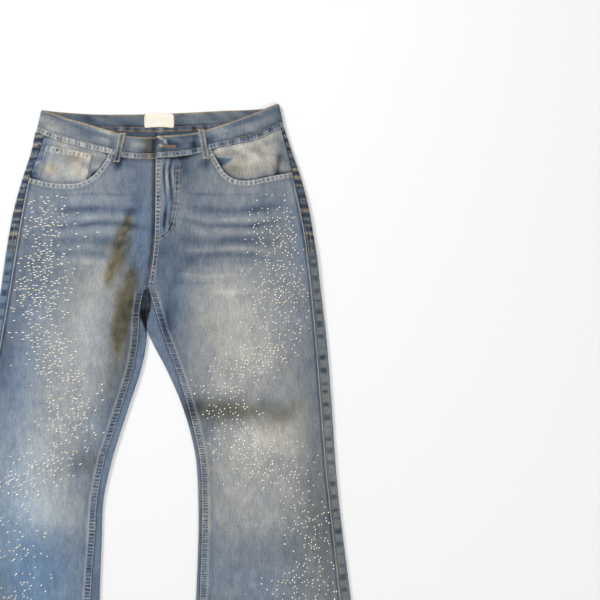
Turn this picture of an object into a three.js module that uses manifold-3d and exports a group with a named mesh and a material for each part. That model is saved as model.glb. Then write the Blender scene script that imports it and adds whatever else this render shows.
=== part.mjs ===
// Flared jeans laid flat, front up, in millimetres with +Z up and the waist towards +Y.
// left and right are the sides seen from above: left at -X, right at +X.
// The back panels lie on the ground, come round the rounded edges of each leg and meet the
// front panels at seams that show from above.

import * as THREE from 'three';
import { mergeVertices } from 'three/addons/utils/BufferGeometryUtils.js';
import Module from 'manifold-3d';

const wasm = await Module();
wasm.setup();

// Cloth thicknesses and clearances
const CLOTH = 1.4; // one layer of denim
const SEAT = 2.8; // back panel where the patch pockets are let into it
const PATCH = 1.2; // pockets, facings and loops
const BAND = 2.6; // folded waistband
const GAP = 0.3; // between two pieces at a seam
const WAIST_GAP = 0.4; // between the waistband and what it is sewn to

// Heights of the front panels over the ground
const HIP_TOP = 7.5;
const LEG_TOP = 5.6;
const BAND_TOP = 8.2;
const UNDERLAP_TOP = 5.7; // waistband end under the fly
const OVERLAP_TOP = 11.3; // waistband end over the button

// Length stations of the legs
const TOP_Y = 520;
const CROTCH_Y = 243; // lower end of the centre front seam
const FORK_Y = 236; // upper end of the inner leg edges
const HEM_Y = -561;
const HEM_TURN = 16; // height of the turned hem
const HIP_ROWS = [520, 500, 480, 460, 440, 415, 385, 355, 325, 300, 272, CROTCH_Y, FORK_Y];
const LEG_ROWS = [
  FORK_Y, FORK_Y - 6, 205, 170, 135, 95, 55, 25, -5, -45, -85, -127, -175, -235, -300, -365, -431, -490,
  HEM_Y + HEM_TURN + 2, HEM_Y + HEM_TURN, HEM_Y,
];
const FRONT_ROWS = [...HIP_ROWS, ...LEG_ROWS.slice(1)];
const SEAT_ROWS = [...HIP_ROWS, LEG_ROWS[1]];
const FRONT_COLUMNS = 12;
const FACING_ROWS = [520, 508, 496, 484, 472, 460, 448, 436, 424, 412, 400, 385];
const FACING_COLUMNS = 16;

// Outer edge of the flat leg and the outseam beside it, by height
const OUTER = {
  left: [
    { y: 520, fold: -187.1, seam: -168 },
    { y: 480, fold: -195, seam: -180 },
    { y: 430, fold: -211, seam: -199 },
    { y: 380, fold: -225, seam: -210 },
    { y: 340, fold: -233, seam: -217 },
    { y: 297, fold: -240, seam: -224 },
    { y: 236, fold: -249, seam: -234 },
    { y: 150, fold: -266, seam: -249 },
    { y: 47, fold: -286, seam: -268 },
    { y: -57, fold: -300, seam: -284 },
    { y: -127, fold: -312, seam: -297 },
    { y: -196, fold: -326, seam: -310 },
    { y: -300, fold: -346, seam: -330 },
    { y: -431, fold: -368, seam: -351 },
    { y: -561, fold: -391.5, seam: -374 },
  ],
  right: [
    { y: 520, fold: 244.1, seam: 238 },
    { y: 480, fold: 257, seam: 249 },
    { y: 430, fold: 274, seam: 261 },
    { y: 380, fold: 287, seam: 272 },
    { y: 340, fold: 294, seam: 280 },
    { y: 297, fold: 301, seam: 286 },
    { y: 236, fold: 308, seam: 293 },
    { y: 150, fold: 318, seam: 301 },
    { y: 47, fold: 326, seam: 309 },
    { y: -57, fold: 333, seam: 317 },
    { y: -127, fold: 339, seam: 324 },
    { y: -196, fold: 347, seam: 332 },
    { y: -300, fold: 360, seam: 343 },
    { y: -431, fold: 375, seam: 358 },
    { y: -561, fold: 391.5, seam: 374 },
  ],
};

// Inner edge of each leg and the inseam beside it, below the crotch
const INNER = {
  left: [
    { y: 236, fold: 5, seam: 0 },
    { y: 203, fold: 5, seam: -10 },
    { y: 150, fold: 5, seam: -13 },
    { y: 99, fold: -5, seam: -23 },
    { y: 47, fold: -22, seam: -39 },
    { y: -5, fold: -39, seam: -56 },
    { y: -57, fold: -55, seam: -72 },
    { y: -127, fold: -70, seam: -85 },
    { y: -196, fold: -73, seam: -89 },
    { y: -300, fold: -77, seam: -97 },
    { y: -431, fold: -81, seam: -101 },
    { y: -561, fold: -82, seam: -103 },
  ],
  right: [
    { y: 236, fold: 10, seam: 15 },
    { y: 203, fold: 10, seam: 24 },
    { y: 150, fold: 16, seam: 40 },
    { y: 99, fold: 40, seam: 61 },
    { y: 47, fold: 63, seam: 80 },
    { y: -5, fold: 80, seam: 94 },
    { y: -57, fold: 91, seam: 103 },
    { y: -127, fold: 95, seam: 107 },
    { y: -196, fold: 95, seam: 107 },
    { y: -300, fold: 91, seam: 102 },
    { y: -431, fold: 86, seam: 97 },
    { y: -561, fold: 81, seam: 92 },
  ],
};

// Centre front and centre back, which lie over each other
const CENTRE = [
  { y: 520, x: 24 },
  { y: 464, x: 21 },
  { y: 330, x: 19 },
  { y: 267, x: 12 },
  { y: CROTCH_Y, x: 7 },
];

// Waistband edges, upper and lower. Each front list starts at the middle of its side fold, and the
// back's list runs from fold to fold.
const BAND_EDGES = {
  frontLeft: [
    { topX: -174, topY: 550, lowX: -183, lowY: 511 },
    { topX: -153, topY: 544, lowX: -160, lowY: 501 },
    { topX: -136, topY: 537, lowX: -141, lowY: 495 },
    { topX: -103, topY: 528, lowX: -110, lowY: 486 },
    { topX: -77, topY: 520, lowX: -81, lowY: 479 },
    { topX: -56, topY: 514, lowX: -62, lowY: 475 },
    { topX: -22, topY: 505, lowX: -29, lowY: 467 },
    { topX: 22, topY: 504, lowX: 21, lowY: 465 },
    { topX: 56, topY: 505, lowX: 56, lowY: 467 },
  ],
  frontRight: [
    { topX: 231, topY: 561, lowX: 240, lowY: 520 },
    { topX: 219, topY: 556, lowX: 224, lowY: 511 },
    { topX: 194, topY: 546, lowX: 195, lowY: 498 },
    { topX: 159, topY: 533, lowX: 157, lowY: 490 },
    { topX: 131, topY: 523, lowX: 122, lowY: 483 },
    { topX: 95, topY: 512, lowX: 91, lowY: 474 },
    { topX: 55, topY: 507, lowX: 60, lowY: 469 },
    { topX: 23, topY: 505, lowX: 23, lowY: 467 },
  ],
  back: [
    { topX: -174, topY: 550, lowX: -183, lowY: 511 },
    { topX: -145, topY: 547, lowX: -148, lowY: 515 },
    { topX: -81, topY: 543, lowX: -81, lowY: 514 },
    { topX: 29, topY: 544, lowX: 29, lowY: 512 },
    { topX: 133, topY: 549, lowX: 133, lowY: 516 },
    { topX: 211, topY: 553, lowX: 213, lowY: 518 },
    { topX: 231, topY: 561, lowX: 240, lowY: 520 },
  ],
};

// Edge of each scooped pocket mouth, from the waistband to the outseam
const SCOOP = {
  left: [
    [-61, 482], [-63, 469], [-70, 457], [-83, 441], [-99, 429], [-116, 423], [-143, 422], [-168, 425],
    [-204, 434],
  ],
  right: [[116, 490], [119, 479], [129, 461], [141, 442], [159, 430], [184, 428], [214, 434], [262, 443]],
};
const FACING_REACH = 16; // facing hidden behind the scoop's edge
const FACING_DROP = 3.2; // depth of the facing under the panel
const COIN_POCKET = [
  [-168, 489], [-89, 474], [-98, 430], [-103, 408], [-150, 402], [-192, 411], [-187, 440],
];

// Soft folds of the front panels: centre, direction in degrees, half length, half width, height
const FOLDS = [
  { x: 80, y: 262, turn: 18, along: 70, across: 22, rise: 0.6 },
  { x: 70, y: 228, turn: -14, along: 60, across: 18, rise: -1.1 },
  { x: 95, y: 196, turn: -32, along: 75, across: 22, rise: 1.0 },
  { x: 205, y: 300, turn: -6, along: 75, across: 20, rise: -1.0 },
  { x: 200, y: 352, turn: 5, along: 80, across: 18, rise: -0.7 },
  { x: 150, y: 40, turn: -8, along: 70, across: 20, rise: 1.1 },
  { x: 245, y: 22, turn: 22, along: 55, across: 18, rise: 0.9 },
  { x: 175, y: -8, turn: -4, along: 80, across: 16, rise: -1.2 },
  { x: 205, y: -330, turn: 98, along: 170, across: 26, rise: 1.1 },
  { x: 275, y: -400, turn: 103, along: 130, across: 24, rise: -1.1 },
  { x: 150, y: -440, turn: 88, along: 100, across: 20, rise: -0.9 },
  { x: -55, y: 258, turn: -20, along: 60, across: 20, rise: 0.6 },
  { x: -65, y: 215, turn: 22, along: 65, across: 20, rise: -1.1 },
  { x: -95, y: 178, turn: 40, along: 75, across: 22, rise: 1.0 },
  { x: -140, y: 345, turn: 4, along: 70, across: 18, rise: -0.8 },
  { x: -120, y: 45, turn: 62, along: 90, across: 20, rise: -1.2 },
  { x: -190, y: 20, turn: 14, along: 60, across: 20, rise: 1.1 },
  { x: -160, y: -40, turn: -8, along: 75, across: 18, rise: -1.0 },
  { x: -200, y: -330, turn: 80, along: 170, across: 26, rise: 1.1 },
  { x: -290, y: -400, turn: 76, along: 120, across: 24, rise: -1.1 },
  { x: -150, y: -450, turn: 92, along: 100, across: 20, rise: -0.9 },
];

// Fly and its hidden parts, across from the centre front
const FLY = { top: 462, bottom: 333, shieldLeft: 22, shieldRight: 20, zipLeft: 2, zipRight: 14 };
const SLIDER = { width: 10, length: 10, height: 2.4, y: 451 };
const BUTTON = { x: 36, y: 486, radius: 8.5, height: 2.4 };

// Hidden pieces of the seat
const YOKE = { centreY: 441, sideRise: 40, halfWidth: 235 };
const BACK_POCKET = { width: 148, side: 118, point: 152, x: { left: -104, right: 152 }, y: 424, tilt: 9 };
const POCKET_TILT = THREE.MathUtils.degToRad(BACK_POCKET.tilt);

// Belt loops: upper and lower end of the middle line
const LOOP_WIDTH = 11;
const FRONT_LOOPS = [
  { name: 'loop_front_left', top: [-35.5, 511], low: [-47.5, 458] },
  { name: 'loop_front_right', top: [100, 517], low: [109.5, 464] },
];
const BACK_LOOPS = [
  { name: 'loop_back_left', x: -104, top: 541, low: 502 },
  { name: 'loop_back_centre', x: 17, top: 541, low: 499 },
  { name: 'loop_back_right', x: 140, top: 546, low: 504 },
];

const LABEL = { x: 27, y: 531, width: 52, height: 24, thickness: 1, arch: 2 };

// Colours, roughness and metalness
const LOOKS = {
  denim: [0x6f8598, 0.9, 0],
  denimBack: [0x587694, 0.9, 0],
  label: [0xe9e6dc, 0.8, 0],
  tape: [0x3c4a58, 0.85, 0],
  brass: [0x9a7b4a, 0.4, 0.9],
};

const { clamp, lerp, smoothstep } = THREE.MathUtils;
const point = (x, y, z) => new THREE.Vector3(x, y, z);
const sign = { left: -1, right: 1 };

// A smooth curve through the named column of a table, read at any station
function column(rows, station, value) {
  const sorted = [...rows].sort((a, b) => a[station] - b[station]);
  const s = sorted.map((row) => row[station]);
  const v = sorted.map((row) => row[value]);
  const slope = v.map((_, i) => {
    const a = Math.max(i - 1, 0);
    const b = Math.min(i + 1, v.length - 1);
    return (v[b] - v[a]) / (s[b] - s[a]);
  });
  return (at) => {
    const t = clamp(at, s[0], s[s.length - 1]);
    let i = 0;
    while (i < s.length - 2 && t > s[i + 1]) i += 1;
    const h = s[i + 1] - s[i];
    const u = (t - s[i]) / h;
    const u2 = u * u;
    const u3 = u2 * u;
    return (
      (2 * u3 - 3 * u2 + 1) * v[i] + (u3 - 2 * u2 + u) * h * slope[i] +
      (3 * u2 - 2 * u3) * v[i + 1] + (u3 - u2) * h * slope[i + 1]
    );
  };
}

const centreX = column(CENTRE, 'y', 'x');
const outerFold = { left: column(OUTER.left, 'y', 'fold'), right: column(OUTER.right, 'y', 'fold') };
const outseam = { left: column(OUTER.left, 'y', 'seam'), right: column(OUTER.right, 'y', 'seam') };
const innerFold = { left: column(INNER.left, 'y', 'fold'), right: column(INNER.right, 'y', 'fold') };
const inseam = { left: column(INNER.left, 'y', 'seam'), right: column(INNER.right, 'y', 'seam') };
const waistSeam = {
  left: column(BAND_EDGES.frontLeft, 'lowX', 'lowY'),
  right: column(BAND_EDGES.frontRight, 'lowX', 'lowY'),
  back: column(BAND_EDGES.back, 'lowX', 'lowY'),
};
const foldStart = { left: BAND_EDGES.frontLeft[0], right: BAND_EDGES.frontRight[0] };
const waistEdge = {
  left: column(BAND_EDGES.frontLeft, 'topX', 'topY'),
  right: column(BAND_EDGES.frontRight, 'topX', 'topY'),
  back: column(BAND_EDGES.back, 'topX', 'topY'),
};

// Inner edge of a front panel: centre front above the crotch, inseam below it
function frontEdge(side, y) {
  const centre = centreX(y) + (sign[side] * GAP) / 2;
  const leg = inseam[side](y);
  return lerp(leg, centre, clamp((y - FORK_Y) / (CROTCH_Y - FORK_Y), 0, 1));
}

// Inner edge of a back panel above the crotch
function seatEdge(side, y) {
  const centre = centreX(y) + (sign[side] * GAP) / 2;
  return lerp(innerFold[side](y), centre, smoothstep(y, FORK_Y + 1, FORK_Y + 14));
}

// Height of the front panels at their seams
const panelTop = (y) => lerp(LEG_TOP, HIP_TOP, smoothstep(y, 180, 300));

// Height added by the soft folds
function foldRise(x, y) {
  return FOLDS.reduce((sum, fold) => {
    const turn = THREE.MathUtils.degToRad(fold.turn);
    const dx = x - fold.x;
    const dy = y - fold.y;
    const along = (dx * Math.cos(turn) + dy * Math.sin(turn)) / fold.along;
    const across = (dy * Math.cos(turn) - dx * Math.sin(turn)) / fold.across;
    return sum + fold.rise * Math.exp(-along * along - across * across);
  }, 0);
}

// Steps of the cloth at the fly: the left side dips under the right side, which lies over the zip
function flyStep(side, x, y) {
  const away = Math.abs(x - centreX(y));
  const inFly = smoothstep(y, FLY.bottom - 12, FLY.bottom + 12);
  if (side === 'left') return -1.4 * inFly * (1 - smoothstep(away, 22, 40));
  const overSlider = smoothstep(y, SLIDER.y - 28, SLIDER.y - 10);
  return inFly * (1 - smoothstep(away, 22, 40)) * (0.6 + 0.7 * overSlider);
}

// Upper face of a front panel
function frontHeight(side, x, y) {
  const outer = Math.abs(x - outseam[side](y));
  const inner = Math.abs(x - frontEdge(side, y));
  const calm = smoothstep(Math.min(outer, inner), 2, 30) * smoothstep(y, HEM_Y, HEM_Y + 60);
  return panelTop(y) + flyStep(side, x, y) + calm * foldRise(x, y);
}

// Rows near the waist bend to follow the waistband's lower edge
function bendToWaist(seamY, y) {
  const share = smoothstep(y, 400, TOP_Y);
  return y + share * (seamY - WAIST_GAP - TOP_Y);
}

// A closed wall between two grids of points, one on each side of the cloth
function wall(face, behind) {
  const rows = face.length;
  const columns = face[0].length;
  const points = [...face.flat(), ...behind.flat()];
  const at = (layer, r, c) => (layer * rows + r) * columns + c;
  const index = [];
  const quad = (a, b, c, d) => index.push(a, b, c, a, c, d);
  for (let r = 0; r < rows - 1; r += 1) {
    for (let c = 0; c < columns - 1; c += 1) {
      quad(at(0, r, c), at(0, r, c + 1), at(0, r + 1, c + 1), at(0, r + 1, c));
      quad(at(1, r, c), at(1, r + 1, c), at(1, r + 1, c + 1), at(1, r, c + 1));
    }
    const last = columns - 1;
    quad(at(0, r, 0), at(0, r + 1, 0), at(1, r + 1, 0), at(1, r, 0));
    quad(at(0, r, last), at(1, r, last), at(1, r + 1, last), at(0, r + 1, last));
  }
  for (let c = 0; c < columns - 1; c += 1) {
    const last = rows - 1;
    quad(at(0, 0, c), at(1, 0, c), at(1, 0, c + 1), at(0, 0, c + 1));
    quad(at(0, last, c), at(0, last, c + 1), at(1, last, c + 1), at(1, last, c));
  }
  const volume = index.reduce((sum, _, i) => {
    if (i % 3 !== 0) return sum;
    const [a, b, c] = [points[index[i]], points[index[i + 1]], points[index[i + 2]]];
    return sum + a.dot(b.clone().cross(c));
  }, 0);
  if (volume < 0) index.reverse();
  const geometry = new THREE.BufferGeometry().setFromPoints(points);
  geometry.setIndex(index);
  return geometry;
}

// Cut and join with closed solids
function solid(geometry) {
  const bare = geometry.clone();
  bare.deleteAttribute('normal');
  bare.deleteAttribute('uv');
  const merged = mergeVertices(bare, 1e-4);
  const mesh = new wasm.Mesh({
    numProp: 3,
    vertProperties: new Float32Array(merged.attributes.position.array),
    triVerts: new Uint32Array(merged.index.array),
  });
  return new wasm.Manifold(mesh);
}

function surface(body) {
  const mesh = body.getMesh();
  const geometry = new THREE.BufferGeometry();
  geometry.setAttribute('position', new THREE.BufferAttribute(mesh.vertProperties, 3));
  geometry.setIndex(new THREE.BufferAttribute(mesh.triVerts, 1));
  return geometry;
}

// An upright prism over an outline
function prism(outline, low, high) {
  const shape = new THREE.Shape(outline.map(([x, y]) => new THREE.Vector2(x, y)));
  const geometry = new THREE.ExtrudeGeometry(shape, { depth: high - low, bevelEnabled: false });
  return geometry.translate(0, 0, low);
}

// A prism that cuts through every layer
const CUT_LOW = -5;
const CUT_HIGH = 30;
const BESIDE = 60; // how far a cut runs past the garment's side
const ABOVE_WAIST = 620;
const cutPrism = (outline) => solid(prism(outline, CUT_LOW, CUT_HIGH));

// An outline drawn smoothly through a few points
function smoothLine(points, steps) {
  const curve = new THREE.CatmullRomCurve3(points.map(([x, y]) => point(x, y, 0)), false, 'centripetal');
  return curve.getPoints(steps).map((p) => [p.x, p.y]);
}

const jeans = new THREE.Group();

function piece(name, look, geometry) {
  const [color, roughness, metalness] = LOOKS[look];
  const mesh = new THREE.Mesh(geometry, new THREE.MeshStandardMaterial({ color, roughness, metalness }));
  mesh.name = name;
  jeans.add(mesh);
}

// Pocket mouths
const scoopLine = { left: smoothLine(SCOOP.left, 20), right: smoothLine(SCOOP.right, 20) };

function mouthOutline(side) {
  const s = sign[side];
  const line = scoopLine[side];
  const first = line[0];
  const last = line[line.length - 1];
  const edge = last[0] + s * BESIDE;
  return [...line, [edge, last[1]], [edge, ABOVE_WAIST], [first[0], ABOVE_WAIST]];
}

// Distance from a pocket mouth's edge, positive inside the mouth
function mouthDepth(side, x, y) {
  const line = scoopLine[side];
  let nearest = Infinity;
  let inside = false;
  for (let i = 0; i < line.length - 1; i += 1) {
    const [ax, ay] = line[i];
    const [bx, by] = line[i + 1];
    const length = Math.hypot(bx - ax, by - ay);
    const t = clamp(((x - ax) * (bx - ax) + (y - ay) * (by - ay)) / length ** 2, 0, 1);
    const distance = Math.hypot(x - lerp(ax, bx, t), y - lerp(ay, by, t));
    if (distance < nearest) {
      nearest = distance;
      inside = ((bx - ax) * (y - ay) - (by - ay) * (x - ax)) * sign[side] > 0;
    }
  }
  return inside ? nearest : -nearest;
}

// Points across the front from the outseam to the inner edge, at the heights that height gives
function frontGrid(side, rows, columns, height) {
  return rows.map((row) => {
    const line = [];
    for (let c = 0; c <= columns; c += 1) {
      const share = c / columns;
      const start = outseam[side](row) - sign[side] * GAP;
      const x0 = lerp(start, frontEdge(side, row), share);
      const y = bendToWaist(waistSeam[side](x0), row);
      const x = lerp(outseam[side](y) - sign[side] * GAP, frontEdge(side, y), share);
      line.push(point(x, y, height(x, y)));
    }
    return line;
  });
}

// Front panels, thicker at the turned hem, with the pocket mouth cut out
function frontPanel(side) {
  const face = frontGrid(side, FRONT_ROWS, FRONT_COLUMNS, (x, y) => frontHeight(side, x, y));
  const behind = face.map((line, r) => {
    const thick = FRONT_ROWS[r] <= HEM_Y + HEM_TURN ? CLOTH * 1.7 : CLOTH;
    return line.map((p) => point(p.x, p.y, p.z - thick));
  });
  const mouth = cutPrism(mouthOutline(side));
  piece(`front_${side}`, 'denim', surface(solid(wall(face, behind)).subtract(mouth)));
}

// Upper face of a pocket facing: level with the seams beside it, deep under the scoop's edge
function facingHeight(side, x, y) {
  const toSide = Math.abs(x - outseam[side](y));
  const toWaist = waistSeam[side](x) - y;
  const atSeam = 1 - smoothstep(Math.min(toSide, toWaist), 3, 22);
  const open = smoothstep(mouthDepth(side, x, y), 1, 14);
  return HIP_TOP - FACING_DROP * (1 - atSeam * open);
}

function facing(side) {
  const face = frontGrid(side, FACING_ROWS, FACING_COLUMNS, (x, y) => facingHeight(side, x, y));
  const behind = face.map((line) => line.map((p) => point(p.x, p.y, p.z - PATCH)));
  const corner = [outseam[side](500), 500];
  const reach = scoopLine[side].map(([x, y]) => {
    const away = Math.hypot(x - corner[0], y - corner[1]);
    const scale = 1 + FACING_REACH / away;
    return [corner[0] + (x - corner[0]) * scale, corner[1] + (y - corner[1]) * scale];
  });
  const s = sign[side];
  const last = reach[reach.length - 1];
  const edge = last[0] + s * BESIDE;
  const cutter = cutPrism([...reach, [edge, last[1]], [edge, ABOVE_WAIST], [reach[0][0], ABOVE_WAIST]]);
  piece(`facing_${side}`, 'denim', surface(solid(wall(face, behind)).intersect(cutter)));
}

function coinPocket() {
  const lift = GAP + PATCH;
  const face = frontGrid('left', FACING_ROWS, FACING_COLUMNS, (x, y) => facingHeight('left', x, y) + lift);
  const behind = face.map((line) => line.map((p) => point(p.x, p.y, p.z - PATCH)));
  piece('coin_pocket', 'denim', surface(solid(wall(face, behind)).intersect(cutPrism(COIN_POCKET))));
}

// Half of a leg edge, from the seam on top round the fold to the ground, on both sides of the cloth.
// turn runs from 0 on top to 1 on the ground.
function edgeRound(foldX, seamX, out, top, ground) {
  const radius = top / 2;
  const centre = foldX - out * radius;
  const innerZ = (top - CLOTH + ground) / 2;
  const innerRise = (top - CLOTH - ground) / 2;
  const steps = 6;
  const outer = [point(seamX, 0, top)];
  const inner = [point(seamX, 0, top - CLOTH)];
  const turn = [0];
  for (let i = 0; i <= steps; i += 1) {
    const angle = Math.PI / 2 - (Math.PI * i) / steps;
    const reach = out * Math.cos(angle);
    outer.push(point(centre + reach * radius, 0, radius + radius * Math.sin(angle)));
    inner.push(point(centre + reach * (radius - CLOTH), 0, innerZ + innerRise * Math.sin(angle)));
    turn.push(i / steps);
  }
  return { outer, inner, turn };
}

const seatThickness = (y) => lerp(CLOTH, SEAT, smoothstep(y, 255, 280));

// Back panel and yoke above the crotch
function seat(side) {
  const columns = 14;
  const section = (y) => {
    const top = panelTop(y);
    const ground = seatThickness(y);
    const { outer, inner, turn } = edgeRound(outerFold[side](y), outseam[side](y), sign[side], top, ground);
    const from = outer[outer.length - 1].x;
    for (let c = 1; c <= columns; c += 1) {
      const x = lerp(from, seatEdge(side, y), c / columns);
      outer.push(point(x, 0, 0));
      inner.push(point(x, 0, ground));
      turn.push(1);
    }
    return { outer, inner, turn };
  };
  const bent = (row) => {
    const { outer, turn } = section(row);
    const out = sign[side];
    const foldCentre = foldStart[side].lowX;
    const stations = outer.map((p, i) => {
      const x = out * Math.min(out * p.x, out * foldCentre);
      return bendToWaist(lerp(waistSeam[side](x), waistSeam.back(x), turn[i]), row);
    });
    const place = (layer) => stations.map((y, i) => {
      const p = section(y)[layer][i];
      return point(p.x, y, p.z);
    });
    return { outer: place('outer'), inner: place('inner') };
  };
  const sections = SEAT_ROWS.map(bent);
  return solid(wall(sections.map((s) => s.outer), sections.map((s) => s.inner)));
}

// Back panel of a leg below the crotch, round both of its edges
function legBack(side) {
  const columns = 6;
  const sections = LEG_ROWS.map((y) => {
    const top = panelTop(y);
    const ground = seatThickness(y) * (y <= HEM_Y + HEM_TURN ? 1.3 : 1);
    const out = edgeRound(outerFold[side](y), outseam[side](y), sign[side], top, ground);
    const inn = edgeRound(innerFold[side](y), inseam[side](y) - sign[side] * GAP, -sign[side], top, ground);
    const join = (layer) => {
      const a = out[layer];
      const b = [...inn[layer]].reverse();
      const between = [];
      for (let c = 1; c < columns; c += 1) {
        between.push(a[a.length - 1].clone().lerp(b[0], c / columns));
      }
      return [...a, ...between, ...b].map((p) => point(p.x, y, p.z));
    };
    return { outer: join('outer'), inner: join('inner') };
  });
  return solid(wall(sections.map((s) => s.outer), sections.map((s) => s.inner)));
}

// Outline of a back patch pocket, made wider all round by grow
function pocketOutline(side, grow) {
  const half = BACK_POCKET.width / 2 + grow;
  const drop = BACK_POCKET.side + grow;
  const tip = BACK_POCKET.point + grow * 1.2;
  const corners = [[-half, grow], [half, grow], [half - 5, -drop], [0, -tip], [-half + 5, -drop]];
  const turn = sign[side] * POCKET_TILT;
  return corners.map(([x, y]) => [
    BACK_POCKET.x[side] + x * Math.cos(turn) - y * Math.sin(turn),
    BACK_POCKET.y + x * Math.sin(turn) + y * Math.cos(turn),
  ]);
}

function loopOutline({ x, top, low }, grow) {
  const half = LOOP_WIDTH / 2 + grow;
  return [[x - half, low - grow], [x + half, low - grow], [x + half, top + grow], [x - half, top + grow]];
}

// Recesses for what is sewn on the back, so that the jeans lie flat on it
function letIn(body) {
  const depth = PATCH + GAP;
  const outlines = [
    pocketOutline('left', GAP),
    pocketOutline('right', GAP),
    ...BACK_LOOPS.map((loop) => loopOutline(loop, GAP)),
  ];
  return outlines.reduce((rest, outline) => rest.subtract(solid(prism(outline, CUT_LOW, depth))), body);
}

function backPieces(side) {
  const s = sign[side];
  const whole = letIn(seat(side).add(legBack(side)));
  const middle = centreX(YOKE.centreY);
  const yokeLine = (x) => YOKE.centreY + (YOKE.sideRise * Math.abs(x - middle)) / YOKE.halfWidth;
  const far = middle + s * (YOKE.halfWidth + BESIDE);
  const above = (shift) => cutPrism([
    [middle - s * BESIDE, YOKE.centreY + shift],
    [middle, YOKE.centreY + shift],
    [far, yokeLine(far) + shift],
    [far, ABOVE_WAIST],
    [middle - s * BESIDE, ABOVE_WAIST],
  ]);
  piece(`yoke_${side}`, 'denimBack', surface(whole.intersect(above(GAP / 2))));
  piece(`back_${side}`, 'denimBack', surface(whole.subtract(above(-GAP / 2))));
}

// Height of the waistband's front along its length
function bandHeight(side, x) {
  if (side === 'left') return lerp(BAND_TOP, UNDERLAP_TOP, smoothstep(x, -38, 12));
  return lerp(OVERLAP_TOP, BAND_TOP, smoothstep(x, 48, 120));
}

// Waistband: one strip from the overlap round the right side, the back and the left side
function waistband() {
  const radius = BAND_TOP / 2;
  const outer = [];
  const inner = [];
  const add = (top, low) => {
    outer.push([top.outer, low.outer]);
    inner.push([top.inner, low.inner]);
  };
  const flat = (list, key, steps, height) => {
    const stop = list[list.length - 1];
    for (let i = 0; i <= steps; i += 1) {
      const edge = (xKey, curve) => {
        const x = lerp(list[0][xKey], stop[xKey], i / steps);
        const z = height(x);
        return { outer: point(x, curve[key](x), z.outer), inner: point(x, curve[key](x), z.inner) };
      };
      add(edge('topX', waistEdge), edge('lowX', waistSeam));
    }
  };
  const fold = (side, steps) => {
    const row = foldStart[side];
    for (let i = 1; i < steps; i += 1) {
      const angle = sign[side] * (Math.PI / 2 - (Math.PI * i) / steps);
      const edge = (x, y) => {
        const at = (r) => point(x + sign[side] * r * Math.cos(angle), y, radius + r * Math.sin(angle));
        return { outer: at(radius), inner: at(radius - BAND) };
      };
      add(edge(row.topX, row.topY), edge(row.lowX, row.lowY));
    }
  };
  const { frontLeft, frontRight, back } = BAND_EDGES;
  const front = (side) => (x) => ({ outer: bandHeight(side, x), inner: bandHeight(side, x) - BAND });
  const ground = () => ({ outer: 0, inner: BAND });
  flat([...frontRight].reverse(), 'right', 16, front('right'));
  fold('right', 6);
  flat([...back].reverse(), 'back', 26, ground);
  fold('left', 6);
  flat(frontLeft, 'left', 18, front('left'));
  const strip = solid(wall(outer, inner));
  piece('waistband', 'denim', surface(letIn(strip)));
}

// Front belt loops: strips over the waistband, sewn to the panel below it
function frontLoop({ name, top, low }) {
  const side = top[0] < 0 ? 'left' : 'right';
  const shares = [0, 0.12, 0.35, 0.6, 0.72, 0.8, 0.88, 1];
  const face = shares.map((share) => {
    const x = lerp(top[0], low[0], share);
    const y = lerp(top[1], low[1], share);
    const onBand = 1 - smoothstep(share, 0.7, 0.9);
    const base = lerp(panelTop(y), bandHeight(side, x), onBand) + GAP;
    return [-1, 0, 1].map((w) => point(x + (w * LOOP_WIDTH) / 2, y, base + 0.4 + PATCH));
  });
  const behind = face.map((line) => line.map((p) => point(p.x, p.y, p.z - PATCH)));
  piece(name, 'denim', wall(face, behind));
}

function flyParts() {
  const ys = [FLY.top, 430, 395, 365, 345, FLY.bottom];
  const right = ys.map((y) => [centreX(y) + FLY.shieldRight, y]);
  const left = ys.map((y) => [centreX(y) - FLY.shieldLeft, y]).reverse();
  const low = SEAT + GAP;
  piece('fly_shield', 'denimBack', prism([...right, ...left], low, low + PATCH));

  const tapeZ = low + PATCH + GAP;
  const tape = 0.7;
  const chain = { half: 2.6, rise: 1.6 };
  const zipTop = SLIDER.y - SLIDER.length / 2 - GAP;
  const zipLow = FLY.bottom + 4;
  const middle = centreX(zipTop) + (FLY.zipLeft + FLY.zipRight) / 2 - 1;
  const half = (FLY.zipRight - FLY.zipLeft) / 2 - 1;
  const profile = new THREE.Shape();
  profile.moveTo(-half, 0);
  profile.lineTo(half, 0);
  profile.lineTo(half, tape);
  profile.lineTo(chain.half, tape);
  profile.lineTo(chain.half, chain.rise);
  profile.lineTo(-chain.half, chain.rise);
  profile.lineTo(-chain.half, tape);
  profile.lineTo(-half, tape);
  profile.closePath();
  const zip = new THREE.ExtrudeGeometry(profile, { depth: zipTop - zipLow, bevelEnabled: false });
  zip.rotateX(Math.PI / 2).translate(middle, zipTop, tapeZ);
  piece('zip', 'tape', zip);

  const slider = new THREE.BoxGeometry(SLIDER.width, SLIDER.length, SLIDER.height);
  slider.translate(middle, SLIDER.y, tapeZ + SLIDER.height / 2);
  piece('zip_slider', 'brass', slider);
}

function waistButton() {
  const button = new THREE.CylinderGeometry(BUTTON.radius, BUTTON.radius, BUTTON.height, 24);
  button.rotateX(Math.PI / 2).translate(BUTTON.x, BUTTON.y, UNDERLAP_TOP + GAP + BUTTON.height / 2);
  piece('waist_button', 'brass', button);
}

// Bare label, slightly arched, on the inside of the back waistband
function label() {
  const steps = 6;
  const low = BAND + GAP;
  const line = (z) => (edge) => {
    const points = [];
    for (let i = 0; i <= steps; i += 1) {
      const share = (2 * i) / steps - 1;
      const y = LABEL.y + edge * LABEL.height * 0.5 + LABEL.arch * (1 - share * share);
      points.push(point(LABEL.x + share * LABEL.width * 0.5, y, z));
    }
    return points;
  };
  const edges = [1, -1];
  piece('label', 'label', wall(edges.map(line(low + LABEL.thickness)), edges.map(line(low))));
}

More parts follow.
